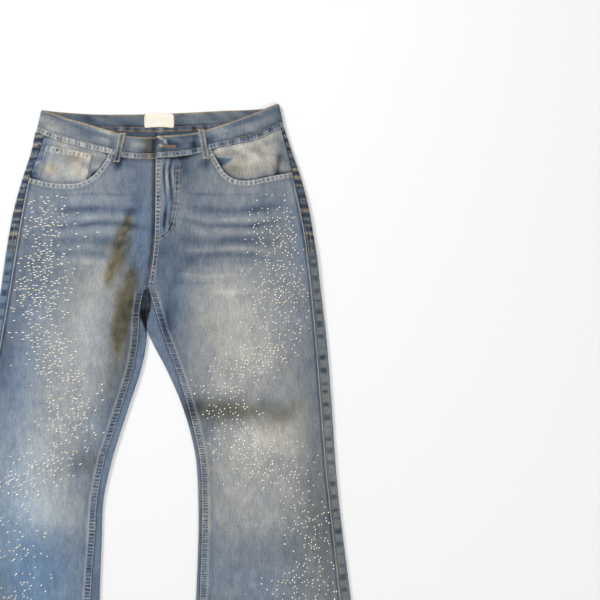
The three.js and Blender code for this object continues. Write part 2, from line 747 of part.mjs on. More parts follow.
['left', 'right'].forEach((side) => {
  frontPanel(side);
  backPieces(side);
  facing(side);
  piece(`back_pocket_${side}`, 'denimBack', prism(pocketOutline(side, 0), 0, PATCH));
});
coinPocket();
waistband();
FRONT_LOOPS.forEach(frontLoop);
BACK_LOOPS.forEach((loop) => piece(loop.name, 'denimBack', prism(loopOutline(loop, 0), 0, PATCH)));
flyParts();
waistButton();
label();

export default jeans;
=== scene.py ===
# Flared jeans laid flat, front up. The CAD holds the pieces, and this script gives them their cloth,
# wash, sewing and stones. Tables are in millimetres, meshes in metres.

import math
from functools import partial

import bpy
import numpy as np
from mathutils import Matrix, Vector


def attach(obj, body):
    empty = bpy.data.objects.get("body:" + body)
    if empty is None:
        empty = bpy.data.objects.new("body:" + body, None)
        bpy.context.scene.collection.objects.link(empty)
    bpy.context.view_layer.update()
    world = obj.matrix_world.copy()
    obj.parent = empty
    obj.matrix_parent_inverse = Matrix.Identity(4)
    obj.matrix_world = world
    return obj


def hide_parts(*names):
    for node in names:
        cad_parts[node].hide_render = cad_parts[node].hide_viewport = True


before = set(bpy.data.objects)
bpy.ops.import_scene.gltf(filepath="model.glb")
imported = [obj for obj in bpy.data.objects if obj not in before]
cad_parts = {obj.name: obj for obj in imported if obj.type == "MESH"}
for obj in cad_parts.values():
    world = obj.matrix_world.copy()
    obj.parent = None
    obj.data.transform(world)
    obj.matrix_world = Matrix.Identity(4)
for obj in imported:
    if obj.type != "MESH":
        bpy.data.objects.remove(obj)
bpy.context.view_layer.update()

MM = 0.001
SIGN = {"left": -1.0, "right": 1.0}

# Cloth thicknesses and heights, as in the solids
CLOTH = 1.4
PATCH = 1.2
BAND = 2.6
GAP = 0.3
HIP_TOP = 7.5
LEG_TOP = 5.6
BAND_TOP = 8.2
UNDERLAP_TOP = 5.7
OVERLAP_TOP = 11.3
FACING_DROP = 3.2
GROUND = 0.25

# Length stations
CROTCH_Y = 243.0
FORK_Y = 236.0
HEM_Y = -561.0
HEM_TURN = 16.0
HEM_TOP = HEM_Y + HEM_TURN
JOIN_Y = 385.0
ROW_STEP = 2.4

# Outer edge of the flat leg and the outseam, by height
OUTER = {
    "left": [
        (520, -187.1, -168), (480, -195, -180), (430, -211, -199), (380, -225, -210), (340, -233, -217),
        (297, -240, -224), (236, -249, -234), (150, -266, -249), (47, -286, -268), (-57, -300, -284),
        (-127, -312, -297), (-196, -326, -310), (-300, -346, -330), (-431, -368, -351), (-561, -391.5, -374),
    ],
    "right": [
        (520, 244.1, 238), (480, 257, 249), (430, 274, 261), (380, 287, 272), (340, 294, 280),
        (297, 301, 286), (236, 308, 293), (150, 318, 301), (47, 326, 309), (-57, 333, 317),
        (-127, 339, 324), (-196, 347, 332), (-300, 360, 343), (-431, 375, 358), (-561, 391.5, 374),
    ],
}

# Inner edge of each leg and the inseam, by height
INNER = {
    "left": [
        (236, 5, 0), (203, 5, -6), (150, 5, -9), (99, -5, -18), (47, -22, -34), (-5, -39, -50.5),
        (-57, -55, -67), (-127, -70, -80), (-196, -73, -84.5), (-300, -77, -92), (-431, -81, -96),
        (-561, -82, -98),
    ],
    "right": [
        (236, 5.3, 10), (203, 5.3, 20), (172, 5.8, 29), (150, 13.5, 37), (99, 40, 56), (47, 63, 73),
        (-5, 80, 87), (-57, 91, 97.5), (-127, 95, 101), (-196, 95, 100.5), (-300, 91, 97), (-431, 86, 92),
        (-561, 81, 87),
    ],
}

CENTRE = [(520, 24), (464, 21), (330, 19), (267, 12), (243, 7)]

# Waistband edges from the side folds inwards: upper x and y, lower x and y
BAND_EDGES = {
    "left": [
        (-174, 550, -183, 511), (-153, 544, -160, 501), (-136, 537, -141, 495), (-103, 528, -110, 486),
        (-77, 520, -81, 479), (-56, 514, -62, 475), (-22, 505, -29, 467), (22, 504, 21, 465),
        (56, 505, 56, 467),
    ],
    "right": [
        (231, 561, 240, 520), (219, 556, 224, 511), (194, 546, 195, 498), (159, 533, 157, 490),
        (131, 523, 122, 483), (95, 512, 91, 474), (55, 507, 60, 469), (23, 505, 23, 467),
    ],
    "back": [
        (-174, 550, -183, 511), (-145, 547, -148, 515), (-81, 543, -81, 514), (29, 544, 29, 512),
        (133, 549, 133, 516), (211, 553, 213, 518), (231, 561, 240, 520),
    ],
}

# Edge of each scooped pocket mouth, from the waistband to the outseam
SCOOP = {
    "left": [
        (-61, 482), (-63, 469), (-70, 457), (-83, 441), (-99, 429), (-116, 423), (-143, 422), (-168, 425),
        (-204, 434),
    ],
    "right": [(116, 490), (119, 479), (129, 461), (141, 442), (159, 430), (184, 428), (214, 434), (262, 443)],
}
FACING_REACH = 15.0

# Soft folds of the fronts: centre, direction in degrees, half length, half width, height
FOLDS = [
    (80, 262, 18, 70, 22, 0.6), (70, 228, -14, 60, 18, -1.1), (95, 196, -32, 75, 22, 1.0),
    (205, 300, -6, 75, 20, -1.0), (200, 352, 5, 80, 18, -0.7), (150, 40, -8, 70, 20, 1.1),
    (245, 22, 22, 55, 18, 0.9), (175, -8, -4, 80, 16, -1.2), (205, -330, 98, 170, 26, 1.1),
    (275, -400, 103, 130, 24, -1.1), (150, -440, 88, 100, 20, -0.9), (-55, 258, -20, 60, 20, 0.6),
    (-65, 215, 22, 65, 20, -1.1), (-95, 178, 40, 75, 22, 1.0), (-140, 345, 4, 70, 18, -0.8),
    (-120, 45, 62, 90, 20, -1.2), (-190, 20, 14, 60, 20, 1.1), (-160, -40, -8, 75, 18, -1.0),
    (-200, -330, 80, 170, 26, 1.1), (-290, -400, 76, 120, 24, -1.1), (-150, -450, 92, 100, 20, -0.9),
]

FLY_LOW = 333.0
SLIDER_Y = 451.0
YOKE_Y = 441.0
YOKE_RISE = 40.0
YOKE_HALF = 235.0
POCKET = {"width": 148.0, "side": 118.0, "point": 152.0, "y": 424.0, "tilt": 9.0}
POCKET_X = {"left": -104.0, "right": 152.0}
LOOP_WIDTH = 11.0
FRONT_LOOPS = {
    "loop_front_left": ((-35.5, 511), (-47.5, 458)),
    "loop_front_right": ((100, 517), (109.5, 464)),
}
BACK_LOOPS = {
    "loop_back_left": (-104, 541, 502),
    "loop_back_centre": (17, 541, 499),
    "loop_back_right": (140, 546, 504),
}


# Curves and small helpers

def smooth(value, low, high):
    t = np.clip((np.asarray(value, float) - low) / (high - low), 0.0, 1.0)
    return t * t * (3.0 - 2.0 * t)


def mix(a, b, share):
    return a + (b - a) * share


def ridge(value, middle, half):
    """A soft ridge, 1 at its middle."""
    return np.exp(-((value - middle) / half) ** 2)


def curve(rows, station, value):
    """A smooth curve through one column of a table, read at any station."""
    order = sorted(rows, key=lambda row: row[station])
    s = np.array([row[station] for row in order], float)
    v = np.array([row[value] for row in order], float)
    low = np.maximum(np.arange(len(s)) - 1, 0)
    high = np.minimum(np.arange(len(s)) + 1, len(s) - 1)
    slope = (v[high] - v[low]) / (s[high] - s[low])

    def read(at):
        t = np.clip(np.asarray(at, float), s[0], s[-1])
        i = np.clip(np.searchsorted(s, t, side="right") - 1, 0, len(s) - 2)
        h = s[i + 1] - s[i]
        u = (t - s[i]) / h
        u2, u3 = u * u, u * u * u
        ends = (2 * u3 - 3 * u2 + 1) * v[i] + (3 * u2 - 2 * u3) * v[i + 1]
        return ends + (u3 - 2 * u2 + u) * h * slope[i] + (u3 - u2) * h * slope[i + 1]

    return read


centre_x = curve(CENTRE, 0, 1)
outer_fold = {side: curve(OUTER[side], 0, 1) for side in SIGN}
outseam = {side: curve(OUTER[side], 0, 2) for side in SIGN}
inner_fold = {side: curve(INNER[side], 0, 1) for side in SIGN}
inseam = {side: curve(INNER[side], 0, 2) for side in SIGN}
band_top_y = {key: curve(BAND_EDGES[key], 0, 1) for key in BAND_EDGES}
waist_seam = {key: curve(BAND_EDGES[key], 2, 3) for key in BAND_EDGES}


def run_along(line):
    """Length along a line at each of its points."""
    return np.concatenate([[0.0], np.cumsum(np.linalg.norm(np.diff(line, axis=0), axis=1))])


def resample(line, count):
    """Points spread evenly along a line drawn through the given ones."""
    p = np.array(line, float)
    run = run_along(p)
    at = np.linspace(0.0, run[-1], count)
    return np.stack([np.interp(at, run, p[:, k]) for k in range(p.shape[1])], axis=1)


def soften(line, count):
    """A rounded line through a few points."""
    p = np.array(line, float)
    ends = np.vstack([2 * p[0] - p[1], p, 2 * p[-1] - p[-2]])
    out = []
    for i in range(len(p) - 1):
        a, b, c, d = ends[i:i + 4]
        for t in np.linspace(0.0, 1.0, 12, endpoint=i == len(p) - 2):
            out.append(0.5 * (2 * b + (c - a) * t + (2 * a - 5 * b + 4 * c - d) * t * t
                              + (3 * b - a - 3 * c + d) * t ** 3))
    return resample(out, count)


scoop_line = {side: soften(SCOOP[side], 90) for side in SIGN}


def away_from(line, x, y):
    """Distance from a line, and the length along it at the nearest point."""
    x, y = np.broadcast_arrays(np.asarray(x, float), np.asarray(y, float))
    best = np.full(x.shape, 1e9)
    along = np.zeros(x.shape)
    left = np.zeros(x.shape)
    run = 0.0
    for (ax, ay), (bx, by) in zip(line[:-1], line[1:]):
        dx, dy = bx - ax, by - ay
        length = math.hypot(dx, dy)
        t = np.clip(((x - ax) * dx + (y - ay) * dy) / length ** 2, 0.0, 1.0)
        d = np.hypot(x - ax - t * dx, y - ay - t * dy)
        near = d < best
        best = np.where(near, d, best)
        along = np.where(near, run + t * length, along)
        left = np.where(near, dx * (y - ay) - dy * (x - ax), left)
        run += length
    return best, along, left


def mouth_depth(side, x, y):
    """Distance from a pocket mouth's edge, positive inside the mouth."""
    d, _, left = away_from(scoop_line[side][::3], x, y)
    return np.where(left * SIGN[side] > 0, d, -d)


def below_mouth(side, x, y):
    """Distance on the front from its pocket mouth's edge, 0 inside the mouth."""
    return np.maximum(-mouth_depth(side, x, y), 0)


def mouth_run(side, x, y):
    """Length along a pocket mouth's edge at the nearest point."""
    return away_from(scoop_line[side][::3], x, y)[1]


def front_edge(side, y):
    centre = centre_x(y) + SIGN[side] * GAP / 2
    return mix(inseam[side](y), centre, np.clip((y - FORK_Y) / (CROTCH_Y - FORK_Y), 0, 1))


def seat_edge(side, y):
    centre = centre_x(y) + SIGN[side] * GAP / 2
    return mix(inner_fold[side](y), centre, smooth(y, FORK_Y + 1, FORK_Y + 14))


def panel_top(y):
    return mix(LEG_TOP, HIP_TOP, smooth(y, 180, 300))


def leg_hem(y, low=-1, high=1):
    """1 on a leg's turned hem and 0 above it. low and high give where it ends, from the hem's upper edge."""
    return 1 - smooth(y, HEM_TOP + low, HEM_TOP + high)


def bumps(table, x, y):
    """Sum of soft oval bumps and hollows."""
    total = np.zeros(np.broadcast(x, y).shape)
    for cx, cy, turn, along, across, rise in table:
        a = math.radians(turn)
        dx, dy = x - cx, y - cy
        u = (dx * math.cos(a) + dy * math.sin(a)) / along
        v = (dy * math.cos(a) - dx * math.sin(a)) / across
        total += rise * np.exp(-u * u - v * v)
    return total


def ripple(s, seed, pitch):
    """Uneven waves along a seam, from 0 to 1."""
    a = np.sin(2 * math.pi * s / pitch + seed)
    b = np.sin(2 * math.pi * s / (pitch * 1.37) + seed * 2.3)
    c = np.sin(2 * math.pi * s / (pitch * 0.61) + seed * 3.7)
    return np.clip(0.5 + 0.28 * a + 0.22 * b + 0.12 * c, 0, 1)


def value_noise(x, y, scale, seed):
    """Smooth noise from -1 to 1."""
    def lattice(i, j):
        n = np.sin(i * 127.1 + j * 311.7 + seed * 74.7) * 43758.5453
        return 2 * (n - np.floor(n)) - 1
    u, v = x / scale, y / scale
    i, j = np.floor(u), np.floor(v)
    fu, fv = u - i, v - j
    fu, fv = fu * fu * (3 - 2 * fu), fv * fv * (3 - 2 * fv)
    low = mix(lattice(i, j), lattice(i + 1, j), fu)
    high = mix(lattice(i, j + 1), lattice(i + 1, j + 1), fu)
    return mix(low, high, fv)


def crumple(x, y, seed):
    """Low uneven relief of handled cloth."""
    big = value_noise(x + 0.4 * y, y - 0.3 * x, 46.0, seed)
    fine = value_noise(x, y, 17.0, seed + 3)
    return 0.28 * big + 0.12 * fine


# Meshes

def make_mesh(name, verts, faces, material, colours=None, smooth_shade=True, rims=(), rungs=None):
    mesh = bpy.data.meshes.new(name)
    mesh.vertices.add(len(verts))
    mesh.vertices.foreach_set("co", (np.asarray(verts, float) * MM).ravel())
    faces = np.asarray(faces, np.int32)
    count, sides = faces.shape
    mesh.loops.add(count * sides)
    mesh.loops.foreach_set("vertex_index", faces.ravel())
    mesh.polygons.add(count)
    mesh.polygons.foreach_set("loop_start", np.arange(0, count * sides, sides, dtype=np.int32))
    mesh.polygons.foreach_set("loop_total", np.full(count, sides, np.int32))
    shading = np.full(count, smooth_shade)
    shading[list(rims)] = False
    mesh.polygons.foreach_set("use_smooth", shading)
    mesh.update(calc_edges=True)
    for key, values in (("wash", colours), ("rungs", rungs)):
        if values is not None:
            layer = mesh.color_attributes.new(key, "FLOAT_COLOR", "POINT")
            layer.data.foreach_set("color", np.asarray(values, float).ravel())
    mesh.validate()
    mesh.materials.append(material)
    obj = bpy.data.objects.new(name, mesh)
    bpy.context.scene.collection.objects.link(obj)
    return obj


def grid_faces(rows, columns, start, flip):
    r, c = np.meshgrid(np.arange(rows - 1), np.arange(columns - 1), indexing="ij")
    a = start + r * columns + c
    quads = np.stack([a, a + 1, a + columns + 1, a + columns], axis=-1).reshape(-1, 4)
    return quads[:, ::-1] if flip else quads


def wall_data(face, behind):
    """Vertices and faces of a closed wall between two grids of points."""
    rows, columns = face.shape[:2]
    verts = np.concatenate([face.reshape(-1, 3), behind.reshape(-1, 3)])
    half = rows * columns
    rim = np.concatenate([
        np.arange(columns),
        np.arange(1, rows) * columns + columns - 1,
        (rows - 1) * columns + np.arange(columns - 2, -1, -1),
        np.arange(rows - 2, 0, -1) * columns,
    ])
    following = np.roll(rim, -1)
    sides = np.stack([following, rim, rim + half, following + half], axis=-1)
    front, back = grid_faces(rows, columns, 0, False), grid_faces(rows, columns, half, True)
    quads = np.concatenate([sides, front, back])
    a, b, c, d = (verts[quads[:, k]] for k in range(4))
    volume = np.einsum("ij,ij->i", a, np.cross(b, c)).sum() + np.einsum("ij,ij->i", a, np.cross(c, d)).sum()
    return verts, quads[:, ::-1] if volume < 0 else quads


def shell(name, walls, material, nodes, colours, rungs=None, inside=0.82):
    """One cloth piece made of closed walls, which stands for its CAD nodes. rungs gives each wall's
    count of rungs along its worn seams, and how strongly they show."""
    verts, faces, tints, rims, ladders = [], [], [], [], []
    start = 0
    done = 0
    for n, ((face, behind), tint) in enumerate(zip(walls, colours)):
        v, f = wall_data(face, behind)
        ladder = np.zeros((len(v), 4))
        if rungs:
            for k, values in enumerate(rungs[n]):
                ladder[:len(v) // 2, k] = np.broadcast_to(values, face.shape[:2]).ravel()
        ladders.append(ladder)
        rows, columns = face.shape[:2]
        if len(walls) > 1:
            rims.extend(range(done, done + len(f) - 2 * (rows - 1) * (columns - 1)))
        verts.append(v)
        faces.append(f + start)
        done += len(f)
        flat = tint.reshape(-1, 3)
        tints.append(np.concatenate([flat, flat * inside]))
        start += len(v)
    rgb = np.concatenate(tints)
    rgba = np.concatenate([rgb, np.ones((len(rgb), 1))], axis=1)
    obj = make_mesh(name, np.concatenate(verts), np.concatenate(faces), material, rgba, rims=rims,
                    rungs=np.concatenate(ladders))
    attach(obj, "root")
    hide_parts(*nodes)
    return obj


def points(x, y, z):
    x, y, z = np.broadcast_arrays(x, y, z)
    return np.stack([x, y, z], axis=-1).astype(float)


def row_stations(high, low):
    return np.linspace(high, low, int(round((high - low) / ROW_STEP)) + 1)


# Wash, with painted shade and highlights. Shades run from 0, unfaded, to 1, bleached, and tints lean to blue
# or to olive.

def linear(rgb):
    c = np.array(rgb, float) / 255.0
    return np.where(c <= 0.04045, c / 12.92, ((c + 0.055) / 1.055) ** 2.4)


SHADES = np.array([linear(c) for c in [
    (36, 45, 60), (72, 84, 101), (99, 110, 123), (126, 133, 141), (151, 154, 156), (177, 178, 175),
    (206, 204, 197),
]])
BLUE = linear((104, 136, 172)) / linear((124, 133, 144))
OLIVE = linear((112, 106, 84)) / linear((124, 133, 144))
GOLD = linear((134, 116, 82)) / linear((112, 106, 84))


def cloth_colour(shade, blue=0.0, olive=0.0, painted_dark=0.0):
    at = np.clip(shade, 0, 1) * (len(SHADES) - 1)
    i = np.minimum(at.astype(int), len(SHADES) - 2)
    rgb = mix(SHADES[i], SHADES[i + 1], (at - i)[..., None])
    for tint, share in ((BLUE, blue), (OLIVE, olive), (0.0, painted_dark)):
        rgb = rgb * mix(1.0, tint, np.atleast_1d(np.clip(share, 0, 1))[..., None])
    return rgb


# Faded and dark places of the fronts, with painted shadows at the belt loops' feet: centre, direction, half
# length, half width, change of shade
FADES_AND_SHADOWS = [
    (154, 212, 80, 78, 66, 0.24), (180, 110, 85, 95, 85, 0.2), (205, -22, 8, 62, 32, 0.25),
    (168, -80, 80, 80, 62, 0.2), (200, -165, 95, 70, 58, 0.12), (150, 262, 0, 80, 30, 0.02),
    (215, 395, 0, 60, 30, 0.02), (119, 95, 70, 60, 40, 0.05), (206, -262, 5, 90, 46, -0.08),
    (106, 30, -4, 46, 21, -0.19), (152, 31, 0, 56, 20, -0.15), (200, 28, 2, 50, 18, -0.1),
    (248, 24, 38, 28, 12, -0.04), (86, 30, 62, 44, 11, -0.12), (70, 462, 88, 34, 13, -0.2),
    (-24, 420, 0, 40, 50, -0.08), (80, 420, 0, 44, 50, -0.08), (50, 310, 80, 50, 50, -0.08),
    (-40, 468, 82, 18, 10, -0.32), (285, 338, 85, 44, 22, -0.17), (-40, 150, 79, 92, 16, -0.16),
    (-68, 178, 80, 70, 20, -0.1), (-8, 205, 84, 46, 12, -0.05), (222, -208, 8, 52, 28, -0.14),
    (280, -50, 95, 72, 26, 0.1), (112, 0, 60, 30, 12, -0.14), (98, -92, 88, 34, 14, -0.1),
    (45, 184, 70, 40, 12, -0.14), (-112, -62, 82, 40, 16, -0.1), (60, 168, 70, 60, 16, -0.1),
    (-36, 290, 80, 46, 16, -0.1), (86, 285, 0, 30, 22, -0.08), (-45, 452, 80, 12, 7, -0.22),
    (109, 458, 80, 10, 7, -0.2), (-25, 455, 0, 26, 7, -0.08), (282, 170, 86, 90, 24, -0.1),
    (300, 60, 86, 190, 18, -0.12), (315, -170, 98, 130, 22, -0.15), (45, 222, 76, 85, 24, -0.24),
    (28, 300, 85, 60, 22, -0.22), (70, 120, 62, 55, 20, -0.08), (230, 392, 5, 60, 16, -0.04),
    (100, 395, 85, 60, 30, -0.05), (-8, 330, 88, 110, 20, -0.14), (-92, 205, 84, 75, 58, 0.22),
    (-120, 90, 75, 105, 72, 0.2), (-182, -40, 70, 85, 60, 0.2), (-190, -115, 80, 75, 60, 0.24),
    (-150, -140, 80, 50, 40, 0.1), (-185, -245, 95, 70, 70, -0.05), (-60, 30, 72, 90, 24, -0.12),
    (-107, -62, 8, 48, 18, -0.07), (-93, 392, 4, 62, 24, 0.08), (-205, 330, 78, 95, 26, -0.06),
    (-245, 120, 80, 110, 20, -0.16), (-180, -420, 80, 130, 60, 0.06), (190, -430, 95, 130, 60, 0.06),
    (-10, 200, 80, 70, 16, -0.14), (-130, 316, 0, 50, 30, 0.03), (-165, 300, 80, 90, 40, -0.08),
    (-232, 110, 85, 120, 24, -0.09), (228, 370, 85, 70, 40, -0.08), (125, 300, 0, 55, 22, -0.1),
    (-62, 264, 0, 20, 22, 0.12), (24, 225, 80, 55, 11, 0.12), (-18, 130, 78, 60, 15, -0.08),
    (102, 92, 70, 40, 18, -0.09), (63, 145, 70, 50, 14, -0.07), (188, -30, 0, 30, 24, -0.06),
    (104, -78, 82, 44, 14, -0.08), (245, -95, 80, 60, 24, 0.08), (272, 10, 80, 28, 20, 0.07),
    (-172, -78, 80, 55, 32, -0.08), (-165, -158, 0, 70, 22, 0.1), (-20, 470, 0, 22, 12, -0.1),
    (63, 466, 0, 26, 16, -0.16), (105, 458, 0, 14, 12, -0.12), (322, 160, 88, 70, 10, 0.1),
    (75, 446, 80, 36, 20, -0.1),
]

# Olive and blue places of the fronts
OLIVES = [
    (112, 30, -4, 60, 20, 0.6), (180, 28, 0, 50, 18, 0.45), (248, 24, 38, 34, 16, 0.4),
    (-40, 155, 79, 100, 18, 0.75), (-38, 285, 80, 44, 15, 0.5), (-10, 140, 75, 110, 12, 0.5),
    (308, -190, 98, 170, 40, 0.26), (105, -170, 90, 150, 14, 0.3), (154, 205, 80, 80, 70, 0.08),
    (180, 100, 85, 90, 80, 0.08), (215, -30, 20, 60, 34, 0.08), (170, -90, 85, 80, 60, 0.05),
    (230, 320, 0, 50, 30, 0.08), (300, -60, 90, 260, 40, 0.14), (-95, 262, 70, 60, 26, 0.2),
    (-150, 300, 80, 70, 40, 0.08), (-98, -62, 10, 44, 18, 0.35),
]
BLUES = [
    (45, 215, 76, 95, 26, 0.3), (25, 320, 88, 70, 20, 0.22), (-12, 330, 86, 90, 20, 0.3),
    (-220, 60, 80, 170, 34, 0.35), (-185, -245, 95, 80, 70, 0.6), (-225, -140, 80, 110, 50, 0.35),
    (112, -250, 88, 80, 34, 0.25), (-190, -280, 85, 60, 70, 0.15), (-60, 20, 70, 110, 24, 0.12),
    (190, -300, 92, 90, 60, 0.2), (-180, -420, 80, 120, 80, 0.5), (190, 380, 5, 80, 30, 0.08),
    (-100, 360, 10, 90, 50, 0.15), (285, 335, 85, 56, 26, 0.35),
]

# Olive stains that run down the left thigh: points with their half widths
STAINS = [
    [
        (-11, 385, 3), (-24, 370, 8), (-32, 346, 13), (-41, 321, 14), (-51, 288, 13), (-60, 257, 11),
        (-67, 225, 6),
    ],
    [
        (-17, 292, 5), (-21, 266, 9), (-27, 238, 14), (-34, 212, 17), (-41, 186, 17), (-46, 160, 12),
        (-40, 120, 9),
    ],
]
J_LINE = [(60, 456), (59, 418), (57, 392), (52, 362), (46, 344), (37, 333), (28, 328)]

# Creases worn across the hips: height at the middle, sag, ends in x, half width, depth
WHISKERS = {
    "left": [
        (403, 1, -150, -10, 2.6, -0.1), (378, -4, -165, 4, 6.5, -0.2), (363, -3, -160, 0, 4.0, 0.09),
        (352, -5, -160, 0, 4.2, -0.2), (339, -5, -165, -6, 5.0, 0.08), (324, -7, -175, -30, 8.0, -0.14),
        (303, -8, -180, -50, 6.0, -0.12), (288, -6, -170, -40, 6.0, 0.09), (240, 1, -158, -70, 1.9, 0.09),
    ],
    "right": [
        (404, 1, 75, 200, 2.6, -0.12), (376, 8, 62, 240, 7.0, -0.2), (360, 7, 65, 235, 4.0, 0.1),
        (350, 9, 62, 240, 4.6, -0.22), (337, 7, 66, 240, 4.0, 0.07), (324, -3, 50, 236, 8.0, -0.2),
        (309, -6, 60, 230, 3.6, 0.12), (298, -6, 62, 225, 6.0, -0.14), (284, 5, 58, 220, 5.0, -0.06),
        (262, 5, 50, 175, 3.2, 0.09), (249, 2, 50, 120, 4.0, -0.08), (234, 1, 110, 215, 3.2, 0.1),
    ],
}


def whiskers(side, x, y):
    total = np.zeros(np.broadcast(x, y).shape)
    for middle, sag, start, stop, half, depth in WHISKERS[side]:
        t = (x - start) / (stop - start)
        line = middle + sag * (2 * t - 1) ** 2
        fade = smooth(t, -0.05, 0.25) * (1 - smooth(t, 0.7, 1.1))
        wobble = 2.0 * value_noise(x, y * 0.2 + middle, 38.0, 5)
        fade = fade * (0.8 + 0.4 * value_noise(x, 0 * y + middle, 24, 7))
        total += depth * fade * ridge(y, line + wobble, half)
    return total


def worn_blocks(s, seed):
    """Dark blocks that the seam allowance prints beside the outseam."""
    beat = ripple(s, seed, 20.0)
    return smooth(beat, 0.5, 0.74)


# Fronts

def front_relief(side, x, y):
    """Height of a front's upper face."""
    outer = np.abs(x - outseam[side](y))
    inner = np.abs(x - front_edge(side, y))
    edge = np.minimum(outer, inner)
    calm = smooth(edge, 2, 30) * smooth(y, HEM_Y, HEM_Y + 60)
    mouth = below_mouth(side, x, y)
    to_waist = np.maximum(waist_seam[side](x) - y, 0)
    quiet = smooth(np.minimum(mouth, to_waist), 4, 26)
    z = panel_top(y) + calm * bumps(FOLDS, x, y)
    z += calm * quiet * crumple(x, y, 2 if side == "left" else 9)
    away = np.abs(x - centre_x(y))
    in_fly = smooth(y, FLY_LOW - 12, FLY_LOW + 12)
    near_fly = 1 - smooth(away, 22, 40)
    if side == "left":
        z -= 1.4 * in_fly * near_fly
    else:
        z += in_fly * near_fly * (0.6 + 0.7 * smooth(y, SLIDER_Y - 28, SLIDER_Y - 10))
        pleat = np.sin(away * 0.62 + 0.8 * np.sin(y * 0.05))
        pleat *= smooth(away, 9, 14) * (1 - smooth(away, 30, 37))
        z += 0.45 * in_fly * pleat
    # felled inseam, pocket hem and leg hem stand proud and pucker between their stitches
    s = y * 1.04
    felled = (1 - smooth(inner, 11.5, 13.5)) * (1 - smooth(y, 232, 240))
    z += felled * (0.45 + 0.55 * (ripple(s, 1.3, 8.5) - 0.5))
    hem = (1 - smooth(mouth, 7.5, 9.5)) * smooth(y, 405, 415)
    z += hem * (0.3 + 0.5 * (ripple(mouth_run(side, x, y), 4.1, 7.4) - 0.5))
    turned = leg_hem(y)
    z += turned * (0.5 + 0.4 * (ripple(x, 2.2, 11.0) - 0.5))
    z += 0.25 * (1 - smooth(to_waist, 2, 14)) * (ripple(x, 6.1, 9.0) - 0.5)
    z = z - 0.55 * (1 - smooth(edge, 0.4, 2.2)) - 0.5 * (1 - smooth(mouth, 0.3, 1.8)) * smooth(y, 405, 415)
    return z


def stained(x, y):
    """How deep in an olive stain a place lies, from 0 to 1."""
    total = np.zeros(np.broadcast(x, y).shape)
    for line in STAINS:
        p = np.array(line, float)
        d, along, _ = away_from([tuple(q) for q in p[:, :2]], x, y)
        run = run_along(p[:, :2])
        half = np.interp(along, run, p[:, 2]) * (1 + 0.45 * value_noise(x, y, 12, 8))
        ends = smooth(along, 0, 34) * (1 - smooth(along, run[-1] - 44, run[-1]))
        blot = 0.8 + 0.3 * value_noise(x, y, 8, 15)
        total = np.maximum(total, ends * blot * ridge(d, 0, 0.95 * half))
    return total


